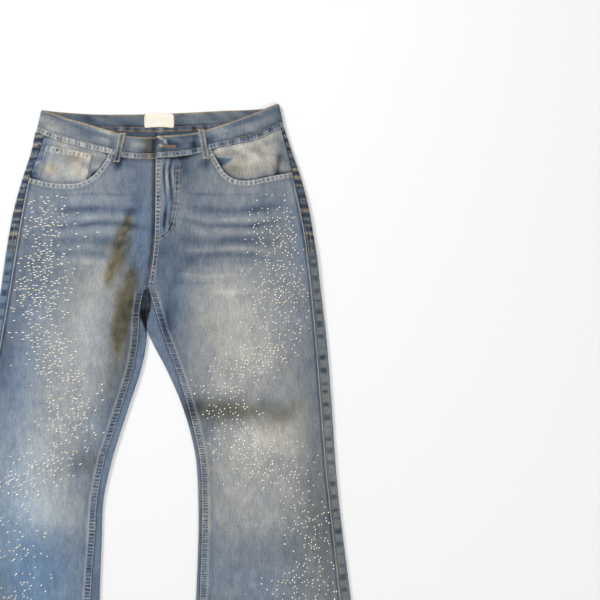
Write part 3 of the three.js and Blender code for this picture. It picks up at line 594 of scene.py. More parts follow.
def front_wash_and_shade(side, x, y):
    outer = np.abs(x - outseam[side](y))
    inner = np.abs(x - front_edge(side, y))
    shade = 0.52 + bumps(FADES_AND_SHADOWS, x, y) + 1.5 * whiskers(side, x, y)
    shade += 0.035 * value_noise(x, y, 44, 10) + 0.035 * value_noise(x, y, 19, 11)
    shade += 0.05 * value_noise(x, y * 0.35, 5, 12) + 0.035 * value_noise(x, y * 0.5, 9, 13)
    blue = bumps(BLUES, x, y)
    olive = bumps(OLIVES, x, y) + 0.06 * value_noise(x, y, 30, 14)
    stain = stained(x, y) if side == "left" else 0 * x
    streak = smooth(value_noise(x * 0.5 + y * 0.3, y - 0.9 * x, 11, 19), -0.1, 0.6)
    shade -= (0.27 - 0.16 * streak * smooth(y, 200, 270)) * stain
    olive += 1.1 * stain
    blue = (blue + 0.1 * (side == "left")) * (1 - stain)
    s = y * 1.04
    # worn ladder of the felled inseam and the centre seam
    below = 1 - smooth(y, 232, 240)
    felled = (1 - smooth(inner, 11.0, 13.0)) * below
    ladder = ripple(s, 1.3, 6.6)
    worn = 0.62 + 0.4 * value_noise(0 * x, y, 24, 16)
    shade += felled * (0.5 * worn * (ladder - 0.75) - (0.08 if side == "left" else 0.09 * smooth(y, 0, 60)))
    shade += below * (0.2 * ridge(inner, 13.0, 1.6) + 0.16 * ridge(inner, 1.0, 1.2))
    shade -= 0.08 * below * ridge(inner, 18, 4)
    blue += (0.3 if side == "left" else 0.12) * felled * (1 - ladder)
    centre = (1 - smooth(np.abs(inner - 5), 4.0, 5.5)) * smooth(y, 240, 248)
    if side == "right":
        rungs = ripple(s, 2.7, 6.8)
        shade += centre * (0.4 * (rungs - 0.5)) + 0.24 * ridge(inner, 1.2, 1.1) * smooth(y, 240, 248)
        j = (1 - smooth(np.abs(inner - 24), 9, 14)) * smooth(y, FLY_LOW, FLY_LOW + 20)
        folds = np.sin(inner * 0.62 + 1.0 * np.sin(y * 0.045) + 1.6 * value_noise(x * 0.2, y, 26, 17))
        folds = folds * (0.65 + 0.5 * value_noise(x * 0.3, y, 15, 18))
        shade += j * (0.42 * folds - 0.2 + 0.2 * value_noise(x, y * 0.5, 8, 3))
        blue += 0.15 * j
        d, along, _ = away_from(J_LINE, x, y)
        shade += ridge(d, 0, 4.5) * (0.5 * (ripple(along, 0.7, 9.0) - 0.75))
    else:
        # painted shadow of the fly's overlap on the left front, darker with an olive tint along its edge
        shade -= 0.16 * (1 - smooth(inner, 2, 12)) * smooth(y, 240, 248)
        overlap_shadow_reach = smooth(y, 240, 345)
        shade -= 0.14 * overlap_shadow_reach * ridge(inner, 3.5, 2.5)
        olive += 0.9 * overlap_shadow_reach * (1 - smooth(inner, 2, 8))
    # pocket hem, outseam and the line under the waistband
    mouth = below_mouth(side, x, y)
    high = smooth(y, 403, 412)
    rim = (1 - smooth(mouth, 7.5, 9.0)) * high
    shade += rim * (0.1 + 0.35 * (ripple(mouth_run(side, x, y), 4.1, 7.4) - 0.5))
    shade += high * (0.16 * ridge(mouth, 1.2, 1.2) + 0.1 * ridge(mouth, 8, 1.2))
    shade -= 0.08 * high * ridge(mouth, 11, 2.0)
    shade += 0.3 * ridge(outer, 1.4, 1.2) - 0.3 * ridge(outer, 4.4, 1.8)
    to_waist = waist_seam[side](x) - y
    # painted shade just under the waistband's edge
    shade -= 0.16 * ridge(to_waist, 2.5, 3.5)
    shade += 0.12 * ridge(to_waist, 9, 5) * (ripple(x, 6.1, 9.0) - 0.3)
    turned = leg_hem(y)
    shade += turned * (0.45 * (ripple(x, 2.2, 11.0) - 0.45))
    gold = (0.75 * streak * stain * smooth(y, 200, 270))[..., None] if side == "left" else 0.0
    return cloth_colour(shade, blue, olive) * mix(1.0, GOLD, gold)


def front_rungs(side, x, y):
    """Rungs of a front's worn seams: the strongest of the seams at each place."""
    inner = np.abs(x - front_edge(side, y))
    mouth = below_mouth(side, x, y)
    felled = (1 - smooth(np.abs(inner - 6.4), 3.6, 4.8)) * (1 - smooth(y, 230, 236))
    centre = (1 - smooth(np.abs(inner - 5.0), 2.4, 3.6)) * smooth(y, 244, 250) * (side == "right")
    rim = (1 - smooth(np.abs(mouth - 4.6), 2.4, 3.6)) * smooth(y, 403, 412)
    hem = leg_hem(y, -3, 0)
    seams = [
        (felled, y * 1.04 / (6.2 if side == "left" else 4.4)), (centre, y / 6.6),
        (0.6 * rim, mouth_run(side, x, y) / 7.6), (0.5 * hem, x / 9.0),
    ]
    strength = np.array([show for show, _ in seams])
    best = strength.argmax(axis=0)
    return np.choose(best, [count for _, count in seams]), strength.max(axis=0)


def inside_panel(side, line, gap):
    """The points of a line that lie inside the outseam and below the waist seam, by a gap."""
    s = SIGN[side]
    return [
        (x, y) for x, y in line
        if s * x < s * (outseam[side](y) - s * gap) and y < waist_seam[side](x) - gap
    ]


def mouth_top(side, columns):
    """Upper edge of a front from the outseam along the pocket mouth and the waist seam to the centre."""
    s = SIGN[side]
    line = scoop_line[side][::-1]
    in_panel = inside_panel(side, line, GAP)
    start = in_panel[0]
    corner = [outseam[side](start[1] + 1.5) - s * GAP, start[1] + 1.5]
    last = in_panel[-1]
    centre = front_edge(side, 467.0)
    waist = [[x, waist_seam[side](x) - GAP] for x in np.linspace(last[0] - s * 1.5, centre, 40)]
    return resample(np.array([corner, *in_panel, *waist]), columns + 1)


def front_grid(side):
    columns = 84
    even = np.linspace(0, 1, columns + 1)
    u = even - 0.5 * np.sin(2 * math.pi * even) / (2 * math.pi)
    s = SIGN[side]

    def across(y):
        start = outseam[side](y) - s * GAP
        return mix(start, front_edge(side, y), u)

    top = mouth_top(side, columns)
    low = across(JOIN_Y)
    rows = []
    for v in np.linspace(0, 1, 34)[:-1]:
        x = mix(top[:, 0], low, v)
        y = mix(top[:, 1], JOIN_Y, v)
        x[0], x[-1] = outseam[side](y[0]) - s * GAP, front_edge(side, y[-1])
        rows.append(points(x, y, 0))
    stations = np.concatenate([
        row_stations(JOIN_Y, CROTCH_Y)[:-1], [CROTCH_Y], [FORK_Y], row_stations(FORK_Y, HEM_Y)[1:],
    ])
    for y in stations:
        rows.append(points(across(y), y, 0))
    return np.array(rows)


def make_front(side, material):
    face = front_grid(side)
    x, y = face[..., 0], face[..., 1]
    face[..., 2] = front_relief(side, x, y)
    thick = np.where(y <= HEM_TOP, CLOTH * 1.5, CLOTH)
    behind = face - points(0, 0, thick)
    return shell(f"front_panel_{side}", [(face, behind)], material, [f"front_{side}"],
                 [front_wash_and_shade(side, x, y)], [front_rungs(side, x, y)])


# Facings and coin pocket

def facing_height(side, x, y):
    to_side = np.abs(x - outseam[side](y))
    to_waist = waist_seam[side](x) - y
    at_seam = 1 - smooth(np.minimum(to_side, to_waist), 3, 22)
    opened = smooth(mouth_depth(side, x, y), 1, 14)
    z = HIP_TOP - FACING_DROP * (1 - at_seam * opened)
    loose = opened * smooth(to_side, 2, 12) * smooth(to_waist, 2, 12)
    return z + loose * 0.5 * value_noise(x, y, 24, 6)


def facing_wash_and_shade(side, x, y):
    depth = mouth_depth(side, x, y)
    to_side = np.abs(x - outseam[side](y))
    to_waist = waist_seam[side](x) - y
    shade = 0.58 + 0.07 * value_noise(x, y, 14, 21) + 0.03 * value_noise(x, y * 0.4, 5, 22)
    shade += 0.16 * value_noise(x * 0.6 + y, y * 0.4 - x * 0.5, 13, 23)
    # painted shadow of the front's mouth edge, darkening the facing along the mouth
    shade -= 0.42 * (1 - smooth(depth, 0, 5.5))
    if side == "right":
        shade += 0.2 * smooth(to_side, 4, 24) * smooth(depth, 3, 14)
        # the crease line is painted crease shade with an olive tint, and the darkening towards the right edge
        # (x 222 to 234) is painted shade
        crease = ridge(x, 234 + 0.1 * (y - 460), 4.4) * (1 - smooth(y, 468, 482))
        low = ridge(x, 156, 22) * ridge(y, 448, 10)
        shadow = smooth(467.5 - y, -1.5, 1.5) * (1 - smooth(x, 148, 160))
        shadow *= smooth(y - 449 - 0.6 * (x - 129), -2, 2)
        shade = shade - 0.34 * crease - 0.4 * shadow - 0.2 * low - 0.1 * smooth(x, 222, 234)
        olive = 0.2 + 0.6 * crease + 0.3 * low
        blue = 0.45 * shadow
    else:
        shade += 0.02 - 0.1 * (1 - smooth(to_side, 6, 20))
        olive = 0.12 + 0 * x
        blue = 0.3 * (1 - smooth(to_side, 8, 26)) + 0.05
        pucker = (1 - smooth(to_side, 5, 13)) * ripple(y, 2.9, 13.0)
        # the dark spot at x -86, y 437 is a painted shadow under the pocket mouth's edge
        shade = shade - 0.35 * pucker * smooth(y, 424, 440) - 0.3 * ridge(x, -86, 9) * ridge(y, 437, 8)
    shade += 0.12 * ridge(to_waist, 6, 4)
    return cloth_colour(shade, blue, olive)


def make_facing(side, material):
    s = SIGN[side]
    corner = np.array([outseam[side](500.0), 500.0])
    line = scoop_line[side]
    gone = np.linalg.norm(line - corner, axis=1, keepdims=True)
    reach = (corner + (line - corner) * (1 + FACING_REACH / gone))[::-1]
    inside = reach[s * reach[:, 0] < s * (outseam[side](reach[:, 1]) - s * GAP)]
    low = resample(inside, 61)
    end_x = low[-1, 0]
    start_x = outseam[side](500.0) - s * GAP
    top_x = np.linspace(start_x, end_x, 61)
    top_y = waist_seam[side](top_x) - GAP
    low[-1, 1] = min(low[-1, 1], top_y[-1] - 3)
    v = np.linspace(0, 1, 36)[:, None]
    x = mix(top_x[None, :], low[None, :, 0], v)
    y = mix(top_y[None, :], low[None, :, 1], v)
    x[:, 0] = outseam[side](y[:, 0]) - s * GAP
    face = points(x, y, facing_height(side, x, y))
    behind = face - points(0, 0, PATCH)
    tint = facing_wash_and_shade(side, x, y)
    return shell(f"pocket_facing_{side}", [(face, behind)], material, [f"facing_{side}"], [tint])


COIN = {"top": ((-168, 489), (-89, 474)), "low": ((-192, 410), (-103, 407))}
COIN_WIDE = 85.0
COIN_TALL = 75.0


def coin_point(u, v):
    """A point of the coin pocket: u from its left edge to its right, v from its top to its foot."""
    left = mix(np.array(COIN["top"][0]), np.array(COIN["low"][0]), v[..., None])
    right = mix(np.array(COIN["top"][1]), np.array(COIN["low"][1]), v[..., None])
    return left + (right - left) * u[..., None]


def coin_height(x, y):
    return facing_height("left", x, y) + GAP + PATCH


def make_coin_pocket(material):
    u, v = np.meshgrid(np.linspace(0, 1, 40), np.linspace(0, 1, 40))
    p = coin_point(u, v)
    x, y = p[..., 0], p[..., 1]
    from_left, from_right, from_top = u * COIN_WIDE, (1 - u) * COIN_WIDE, v * COIN_TALL
    edge = np.minimum(np.minimum(from_left, from_right), from_top)
    z = coin_height(x, y) - 0.5 * (1 - smooth(edge, 0, 2.0))
    hem = (1 - smooth(from_top, 9, 11))
    hem_wave = ripple(from_left, 3.3, 8.0) - 0.5
    z += hem * (0.25 + 0.5 * hem_wave)
    shade = 0.76 - 0.14 * smooth(v, 0.5, 1.0) + 0.08 * value_noise(x, y, 13, 31)
    shade += 0.17 * value_noise(x * 0.6 + y, y * 0.4 - x * 0.5, 12, 34)
    shade += hem * (0.14 + 0.3 * hem_wave)
    shade += 0.1 * (1 - smooth(np.abs(from_right - 8), 1, 2.4))
    shade -= 0.2 * (1 - smooth(from_left, 3, 12))
    # painted shadow of the front's mouth edge on the coin pocket
    shade -= 0.22 * (1 - smooth(mouth_depth("left", x, y), 1, 9))
    shade -= 0.1 * ridge(from_top, 17, 6) * (1 - u)
    blue = 0.25 * (1 - smooth(from_left, 4, 16)) + 0.05
    olive = 0.22 + 0.35 * value_noise(x, y, 16, 33)
    face = points(x, y, z)
    behind = face - points(0, 0, PATCH)
    rungs = (from_left / 8.0, 0.9 * (1 - smooth(np.abs(from_top - 5), 2.4, 3.6)))
    return shell("coin_pocket_patch", [(face, behind)], material, ["coin_pocket"],
                 [cloth_colour(shade, blue, olive)], [rungs])


# Backs and yokes

def pocket_outline(side):
    half, drop, tip = POCKET["width"] / 2, POCKET["side"], POCKET["point"]
    corners = np.array([(-half, 0), (half, 0), (half - 5, -drop), (0, -tip), (-half + 5, -drop)])
    a = SIGN[side] * math.radians(POCKET["tilt"])
    turn = np.array([[math.cos(a), math.sin(a)], [-math.sin(a), math.cos(a)]])
    return corners @ turn + np.array([POCKET_X[side], POCKET["y"]])


def outside_outline(corners, x, y):
    """Distance outside a convex outline, 0 inside it."""
    far = np.full(np.broadcast(x, y).shape, -1e9)
    middle = corners.mean(axis=0)
    for a, b in zip(corners, np.roll(corners, -1, axis=0)):
        normal = np.array([b[1] - a[1], a[0] - b[0]])
        normal = normal / np.linalg.norm(normal)
        if np.dot(normal, a - middle) < 0:
            normal = -normal
        far = np.maximum(far, (x - a[0]) * normal[0] + (y - a[1]) * normal[1])
    return np.maximum(far, 0)


def under_height(side, x, y):
    """Lower face of a back: on the ground, but over its patch pocket and belt loops."""
    away = outside_outline(pocket_outline(side), x, y)
    for loop_x, top, low in BACK_LOOPS.values():
        half = LOOP_WIDTH / 2
        left, right = loop_x - half, loop_x + half
        box = np.array([(left, low), (right, low), (right, top), (left, top)])
        away = np.minimum(away, outside_outline(box, x, y))
    return GROUND + (PATCH + GAP - GROUND + 0.1) * (1 - smooth(away, 4, 14))


def yoke_line(x):
    return YOKE_Y + YOKE_RISE * np.abs(x - centre_x(YOKE_Y)) / YOKE_HALF


def leg_section(side, y, upper):
    """Outer and inner points across a back, from the outseam round to the seat seam or the inseam.
    turn is 0 on top, 1 on the ground and 2 at the inseam."""
    s = SIGN[side]
    top = panel_top(y)
    radius = (top - GROUND) / 2
    strips, arcs, ground = 7, 9, 34

    def edge(fold, seam, out):
        centre = fold - out * radius
        strip = np.linspace(seam, centre, strips)[:-1]
        angle = math.pi / 2 - math.pi * np.linspace(0, 1, arcs)
        arc = centre + out * radius * np.cos(angle)
        xs = np.concatenate([strip, arc])
        zs = np.concatenate([np.full(strips - 1, top), GROUND + radius + radius * np.sin(angle)])
        away = np.concatenate([np.zeros(strips - 1), np.cos(angle) * out])
        up = np.concatenate([np.ones(strips - 1), np.sin(angle)])
        turn = np.concatenate([np.zeros(strips - 1), np.linspace(0, 1, arcs)])
        return xs, zs, away, up, turn

    def lie(xs):
        """The stretch that lies on the ground."""
        n = len(xs)
        return xs, np.full(n, GROUND), np.zeros(n), -np.ones(n), np.ones(n)

    outside = edge(float(outer_fold[side](y)), float(outseam[side](y)), s)
    start = outside[0][-1]
    if upper:
        parts = [outside, lie(np.linspace(start, float(seat_edge(side, y)), ground + 1)[1:])]
    else:
        seam_x = float(inseam[side](y)) - s * GAP
        xi, zi, ai, ui, ti = (p[::-1] for p in edge(float(inner_fold[side](y)), seam_x, -s))
        parts = [outside, lie(np.linspace(start, xi[0], ground + 1)[1:-1]), (xi, zi, ai, ui, 2 - ti)]
    return [np.concatenate(column) for column in zip(*parts)]


def strip_relief(side, x, y, turn):
    """Puckers of the strips beside the seams, on top of the legs."""
    on_top = (turn < 0.3) | (turn > 1.7)
    out = np.abs(x - outseam[side](y))
    inn = np.abs(x - inseam[side](y))
    near = np.where(turn < 1, out, inn)
    block = worn_blocks(y, 2.0 if side == "right" else 4.4) * ridge(near, 7, 5) * (turn < 1)
    pucker = 0.3 * (ripple(y, 3.1, 10.0) - 0.5)
    dip = 0.5 * (1 - smooth(near, 0.3, 2.0))
    return np.where(on_top, 0.45 * block + pucker - dip, 0)


# Deep shade between the thighs: height, left and right edges
FORK_SHADE = [(240, -8, 12), (225, -9, 13), (206, -9, 12.5), (192, -7, 8.5), (178, -1, 6), (163, 4, 5)]


def back_wash_and_shade(side, x, y, turn):
    shade = 0.42 + 0.04 * value_noise(x, y, 26, 41) + 0.05 * value_noise(x, y * 0.4, 5, 42)
    shade += 0.06 * ridge(y, -60, 90) - 0.04 * smooth(y, 150, 330)
    out = np.abs(x - outseam[side](y))
    inn = np.abs(x - inseam[side](y))
    seed = 2.0 if side == "right" else 4.4
    strip = (turn < 0.75) * (1 - smooth(turn, 0.35, 0.75))
    block = worn_blocks(y, seed) * np.exp(-((out - 7.5) / 5.4) ** 4) * (0.8 + 0.3 * value_noise(x, y, 21, 43))
    hip = smooth(y, 285, 330)
    shade -= 0.14 * strip * ridge(y, 335, 34) * (side == "right")
    shade += strip * (0.02 - 0.36 * block * (1 - hip) + 0.85 * hip * (ripple(y, 1.9, 14.0) - 0.66))
    # the dark line beside the outseam is a painted shadow of the front's raised edge
    shade -= strip * 0.2 * ridge(out, 1, 1.3)
    inner = (turn > 1.4) * smooth(turn, 1.4, 1.8)
    shade -= 0.2 * inner * ridge(y, 28, 26) * (side == "right")
    # the dark line beside the inseam is a painted shadow of the front's raised edge
    shade += inner * (-0.05 - 0.12 * ridge(inn, 1.2, 1.4))
    left, right = (curve(FORK_SHADE, 0, k)(y) for k in (1, 2))
    inside = smooth(x - left, -1.2, 1.2) * smooth(right - x, -1.2, 1.2)
    painted_dark_gaps = smooth(y, 203, 207) * (0.14 + 0.16 * value_noise(x * 2, y * 2, 9, 44))
    # painted shade: the hollow between the thighs is darkened nearly to black, broken up near its top
    painted_dark = (1.0 - painted_dark_gaps) * inner * inside * smooth(y, FORK_SHADE[-1][0], FORK_SHADE[-1][0] + 3)
    fade = bumps([(152, 240, 85, 90, 70, 0.16), (-104, 240, 95, 90, 70, 0.16)], x, y)
    under = (turn > 0.9) & (turn < 1.1)
    shade += np.where(under, fade, 0)
    turned = leg_hem(y)
    shade += turned * (0.4 * (ripple(x, 2.2, 11.0) - 0.45))
    if side == "left":
        blue = 0.4 - 0.02 * inner + (0.1 - 0.4 * hip) * strip
    else:
        blue = 0.4 - (0.1 + 0.22 * (1 - smooth(y, -60, 30))) * inner - 0.36 * strip
    olive = inner * 0.6 * ridge(y, 24, 26) * (side == "right")
    tan = 0.1 + 0.6 * hip * smooth(ripple(y, 1.9, 14.0), 0.5, 0.9)
    olive += strip * (tan + 0.26 * (side == "right"))
    return cloth_colour(shade, blue, olive, painted_dark)


def back_rungs(side, x, y, turn):
    out = np.abs(x - outseam[side](y))
    hip = (turn < 0.5) * smooth(y, 285, 330) * (1 - smooth(np.abs(out - 6), 5, 8))
    hem = leg_hem(y, -3, 0)
    return np.stack([np.where(hip > hem, y / 12.0, x / 9.0), np.maximum(hip, 0.5 * hem)])


def back_wall(side, stations, upper):
    """A closed wall through the sections at the given rows. stations gives each point's own height."""
    face, behind, tint, rungs = [], [], [], []
    for heights in stations:
        probe = leg_section(side, float(np.mean(heights)), upper)
        xs, zs, away, up, turn = (np.empty(len(probe[0])) for _ in range(5))
        for y in np.unique(heights):
            part = leg_section(side, float(y), upper)
            here = heights == y
            xs[here], zs[here], away[here], up[here], turn[here] = (p[here] for p in part)
        ys = heights
        thick = CLOTH * np.where(ys <= HEM_TOP, 1.3, 1.0)
        lift = np.where(turn == 1, under_height(side, xs, ys) - GROUND, 0)
        lift += strip_relief(side, xs, ys, turn)
        outer = points(xs, ys, zs + lift)
        face.append(outer)
        behind.append(outer - points(away * thick, 0, up * thick))
        tint.append(back_wash_and_shade(side, xs, ys, turn))
        rungs.append(back_rungs(side, xs, ys, turn))
    return (np.array(face), np.array(behind)), np.array(tint), np.array(rungs).transpose(1, 0, 2)


def section_rows(first, last, count):
    """Rows of heights that pass from the seam first to the seam last, for each column."""
    shares = np.linspace(0, 1, count)
    return [np.round(mix(first, last, share), 3) for share in shares]


def make_back(side, material):
    s = SIGN[side]
    fold_x = BAND_EDGES[side][0][2]

    def waist(xs, turn):
        x = s * np.minimum(s * xs, s * fold_x)
        return mix(waist_seam[side](x), waist_seam["back"](x), np.clip(turn, 0, 1)) - GAP

    xs, _, _, _, turn = leg_section(side, 500.0, True)
    top = waist(xs, turn)
    xs, _, _, _, turn = leg_section(side, 470.0, True)
    edge_x = float(outer_fold[side](481.0))
    split = np.where(turn < 1, float(yoke_line(edge_x)), yoke_line(xs))
    straight = np.full(len(xs), 300.0)
    yoke_rows = section_rows(top, split + GAP / 2, 20)
    high_rows = section_rows(split - GAP / 2, straight, 48)
    hip_rows = [np.full(len(xs), y) for y in row_stations(300.0, FORK_Y)[1:]]
    wall_yoke, tint_yoke, rungs_yoke = back_wall(side, yoke_rows, True)
    wall_hip, tint_hip, rungs_hip = back_wall(side, high_rows + hip_rows, True)
    count = len(leg_section(side, 0.0, False)[0])
    leg_rows = [np.full(count, y) for y in row_stations(FORK_Y, HEM_Y)]
    wall_leg, tint_leg, rungs_leg = back_wall(side, leg_rows, False)
    # the yoke's inner face, which shows between the back band and the front band, is darkened to 0.42 as
    # painted shade
    yoke = shell(f"back_yoke_{side}", [wall_yoke], material, [f"yoke_{side}"], [tint_yoke], [rungs_yoke],
                 inside=0.42)
    back = shell(f"back_panel_{side}", [wall_hip, wall_leg], material, [f"back_{side}"], [tint_hip, tint_leg],
                 [rungs_hip, rungs_leg])
    return yoke, back


def make_back_pocket(side, material):
    u, v = np.meshgrid(np.linspace(-1, 1, 61), np.linspace(0, 1, 49))
    half = POCKET["width"] / 2 - 5 * v
    reach = POCKET["side"] + (POCKET["point"] - POCKET["side"]) * (1 - np.abs(u))
    across, down = u * half, -v * reach
    a = SIGN[side] * math.radians(POCKET["tilt"])
    x = POCKET_X[side] + across * math.cos(a) - down * math.sin(a)
    y = POCKET["y"] + across * math.sin(a) + down * math.cos(a)
    inset = np.minimum(np.minimum((1 - np.abs(u)) * half, v * reach), (1 - v) * reach * 0.9)
    soft = smooth(inset, 4, 20)
    z = 0.12 + 0.2 * (1 - smooth(inset, 0, 1.5)) + 0.08 * (1 + value_noise(x, y, 20, 51)) * soft
    shade = 0.5 + 0.05 * value_noise(x, y, 18, 52) - 0.12 * ridge(inset, 9, 3)
    shade += 0.14 * (1 - smooth(inset, 1, 5)) * ripple(x + y, 3, 9)
    face = points(x, y, z)
    behind = points(x, y, PATCH)
    blue = 0.3 + 0 * x
    return shell(f"patch_pocket_{side}", [(face, behind)], material, [f"back_pocket_{side}"],
                 [cloth_colour(shade, blue)])


# Waistband

def band_height(side, x):
    if side == "left":
        return mix(BAND_TOP, UNDERLAP_TOP, smooth(x, -38, 12))
    return mix(OVERLAP_TOP, BAND_TOP, smooth(x, 48, 120))


def band_stations():
    """Stations along the waistband: its upper and lower edge points and the direction of its outer side."""
    radius = BAND_TOP / 2
    out = []

    def flat(key, steps, backwards):
        rows = BAND_EDGES[key]
        first, last = (rows[-1], rows[0]) if backwards else (rows[0], rows[-1])
        for t in np.linspace(0, 1, steps):
            edges = []
            for column, edge_y in ((0, band_top_y), (2, waist_seam)):
                x = mix(first[column], last[column], t)
                z = GROUND if key == "back" else float(band_height(key, x))
                edges.append((x, float(edge_y[key](x)), z))
            out.append((*edges, (0, -1 if key == "back" else 1)))

    def fold(side, steps, down):
        row = BAND_EDGES[side][0]
        turns = np.linspace(0, 1, steps + 1)[1:-1]
        for t in turns if down else turns[::-1]:
            a = math.pi / 2 - math.pi * t
            dx, dz = SIGN[side] * math.cos(a), math.sin(a)
            z = radius + dz * (radius - GROUND * (dz < 0))
            out.append(((row[0] + dx * radius, row[1], z), (row[2] + dx * radius, row[3], z), (dx, dz)))

    flat("right", 74, True)
    fold("right", 12, True)
    flat("back", 130, True)
    fold("left", 12, False)
    flat("left", 78, False)
    return out


def band_bulge(t, s, height):
    """Relief across the band: rounded edges, a soft middle and a puckered seam at its foot."""
    up = t * height
    down = (1 - t) * height
    edge = 0.7 * (1 - smooth(np.minimum(up, down), 0, 2.2))
    seam = 1 - smooth(down, 8.5, 10.5)
    pucker = seam * 0.55 * (ripple(s, 5.2, 8.0) - 0.5)
    groove = 0.35 * ridge(down, 10, 1.3)
    return 0.25 * np.sin(math.pi * t) - edge + pucker - groove


# Worn light and dark places of the waistband's front and inside, with painted shadows beside the belt loops
# and the fly's overlap and painted highlights, in the form of the tables above
BAND_FADES_AND_SHADING = [
    (-155, 522, -16, 34, 13, 0.2), (-170, 528, -40, 14, 7, 0.14), (-110, 519, -18, 32, 6, -0.22),
    (-66, 498, -28, 22, 4, 0.2), (-76, 487, -17, 22, 2.5, 0.25), (130, 514, 17, 16, 4, 0.2),
    (180, 531, 20, 46, 4, -0.18), (190, 521, 20, 50, 4, 0.14), (-112, 497, -17, 44, 6, 0.22),
    (-28, 492, 80, 20, 5, -0.18), (-55, 492, 80, 20, 5, -0.18), (-62, 511, -18, 22, 3.6, 0.5),
    (-90, 517, -18, 22, 2.6, 0.16), (-128, 512, -17, 30, 5, 0.1), (-10, 492, 0, 14, 12, 0.14),
    (17, 488, 88, 24, 4, -0.5), (6, 486, 88, 24, 5, -0.1), (68, 495, 10, 24, 11, -0.16),
    (88, 492, 80, 22, 6, -0.3), (114, 500, 17, 13, 7, -0.28), (158, 518, 17, 36, 5, 0.24),
    (205, 530, 21, 34, 8, 0.04), (30, 492, 0, 22, 14, -0.14), (150, 505, 17, 40, 6, 0.14),
    (236, 540, 70, 20, 6, -0.16), (48, 492, 0, 28, 13, -0.13), (190, 545, 20, 34, 4, -0.14),
]
# Painted highlights and shade of the creases on the fly's overlap: points of each crease, half width, change
# of shade
BAND_CREASE_LIGHT_AND_SHADE = [
    ([(25, 504), (41, 495), (27, 486)], 1.7, 0.6), ([(26, 499), (33, 495), (27, 491)], 1.2, 0.4),
    ([(24, 500), (32, 495), (24, 490)], 2.4, -0.34), ([(31, 504), (46, 496), (34, 484)], 2.4, -0.2),
    ([(52, 500), (64, 495)], 2.2, 0.16), ([(60, 500), (72, 494), (84, 497)], 2.0, 0.12),
    ([(-20, 486), (-8, 493), (4, 490)], 2.0, 0.12),
]
BAND_INSIDE_FADES = [
    (-130, 534, 0, 40, 14, -0.16), (-96, 532, 0, 16, 14, -0.1), (100, 530, 5, 60, 12, -0.04),
    (200, 550, 3, 22, 5, -0.2),
]


def band_wash_and_shade(x, y, up, down, run, on_ground):
    """Wash and painted shade of one station across the waistband: up and down are the distances from its
    edges.
    """
    ladder = ripple(run, 5.2, 17.0)
    seam = 1 - smooth(down, 8.0, 10.0)
    shade = 0.4 + 0.15 * value_noise(x * 0.7 + y, y * 1.3, 12, 62) + 0.06 * value_noise(x, y, 30, 63)
    shade += bumps(BAND_INSIDE_FADES if on_ground else BAND_FADES_AND_SHADING, x, y)
    for line, half, amount in [] if on_ground else BAND_CREASE_LIGHT_AND_SHADE:
        shade += amount * ridge(away_from(line, x, y)[0], 0, half)
    shade += seam * ((-0.14 if on_ground else 0.15 - 0.09 * smooth(x, -20, 40)) + 0.4 * (ladder - 0.5))
    # the dark line 11 mm above the foot is painted shade in the band's groove
    shade = shade - 0.24 * ridge(down, 11.0, 1.6) + 0.28 * ridge(down, 1.2, 0.9)
    hemmed = ridge(up, 1.0, 1.2)
    shade += 0.2 * hemmed
    blue = 0.12 + 0.14 * ridge(x, 130, 40) * (not on_ground)
    if on_ground:
        hemmed += ridge(down, 2.0, 1.2)
    olive = 0.14 + 0.7 * hemmed + (0.8 * ridge(x, 9, 10) + 0.12 * (x < -150)) * (not on_ground)
    return cloth_colour(shade, blue, olive) * mix(1.0, GOLD, (0.8 * hemmed)[..., None])


def make_waistband(material):
    stations = band_stations()
    across = np.array([
        0, 0.03, 0.07, 0.13, 0.22, 0.33, 0.45, 0.56, 0.66, 0.72, 0.76, 0.8, 0.85, 0.9, 0.94, 0.97, 1.0,
    ])
    face, behind, tint, rungs = [], [], [], []
    run = 0.0
    before = None
    for top, low, (dx, dz) in stations:
        top, low = np.array(top), np.array(low)
        if before is not None:
            run += float(np.linalg.norm(low - before))
        before = low
        p = mix(top[None], low[None], across[:, None])
        height = np.linalg.norm(top - low)
        rise = band_bulge(across, run, height)
        on_ground = dz < -0.5
        wave = 0.0 if on_ground else 0.5 * float(value_noise(np.array(run), np.array(3.0), 34.0, 61))
        rise = np.where(on_ground, np.clip(rise, -1, 0.0), rise + wave * np.sin(math.pi * across))
        away = np.array([dx, 0.0, dz])
        if on_ground:
            clear = np.array([float(under_height("left", q[0], q[1])) for q in p])
            p[:, 2] = clear
        outer = p + away * rise[:, None]
        inner = p - away * (BAND - 0.2 * (on_ground))
        if on_ground:
            inner[:, 2] = BAND
        inner[[0, -1]] += away * 0.6
        face.append(outer)
        behind.append(inner)
        down = (1 - across) * height
        tint.append(band_wash_and_shade(p[:, 0], p[:, 1], across * height, down, run, on_ground))
        rungs.append((np.full(len(down), run / 6.6), 0.68 * (1 - smooth(np.abs(down - 5.2), 2.6, 3.8))))
    walls = [(np.array(face), np.array(behind))]
    return shell("waistband_strip", walls, material, ["waistband"], [np.array(tint)],
                 [np.array(rungs).transpose(1, 0, 2)])


# Belt loops and label

def loop_height(side, x, y, t):
    """Height of a front loop's upper face without its arch, at t from its top to its foot."""
    return mix(panel_top(y), band_height(side, x), 1 - smooth(t, 0.72, 0.88)) + GAP + 0.4 + PATCH


def loop_arch(t):
    return 0.5 * np.sin(math.pi * np.clip(t / 0.8, 0, 1))


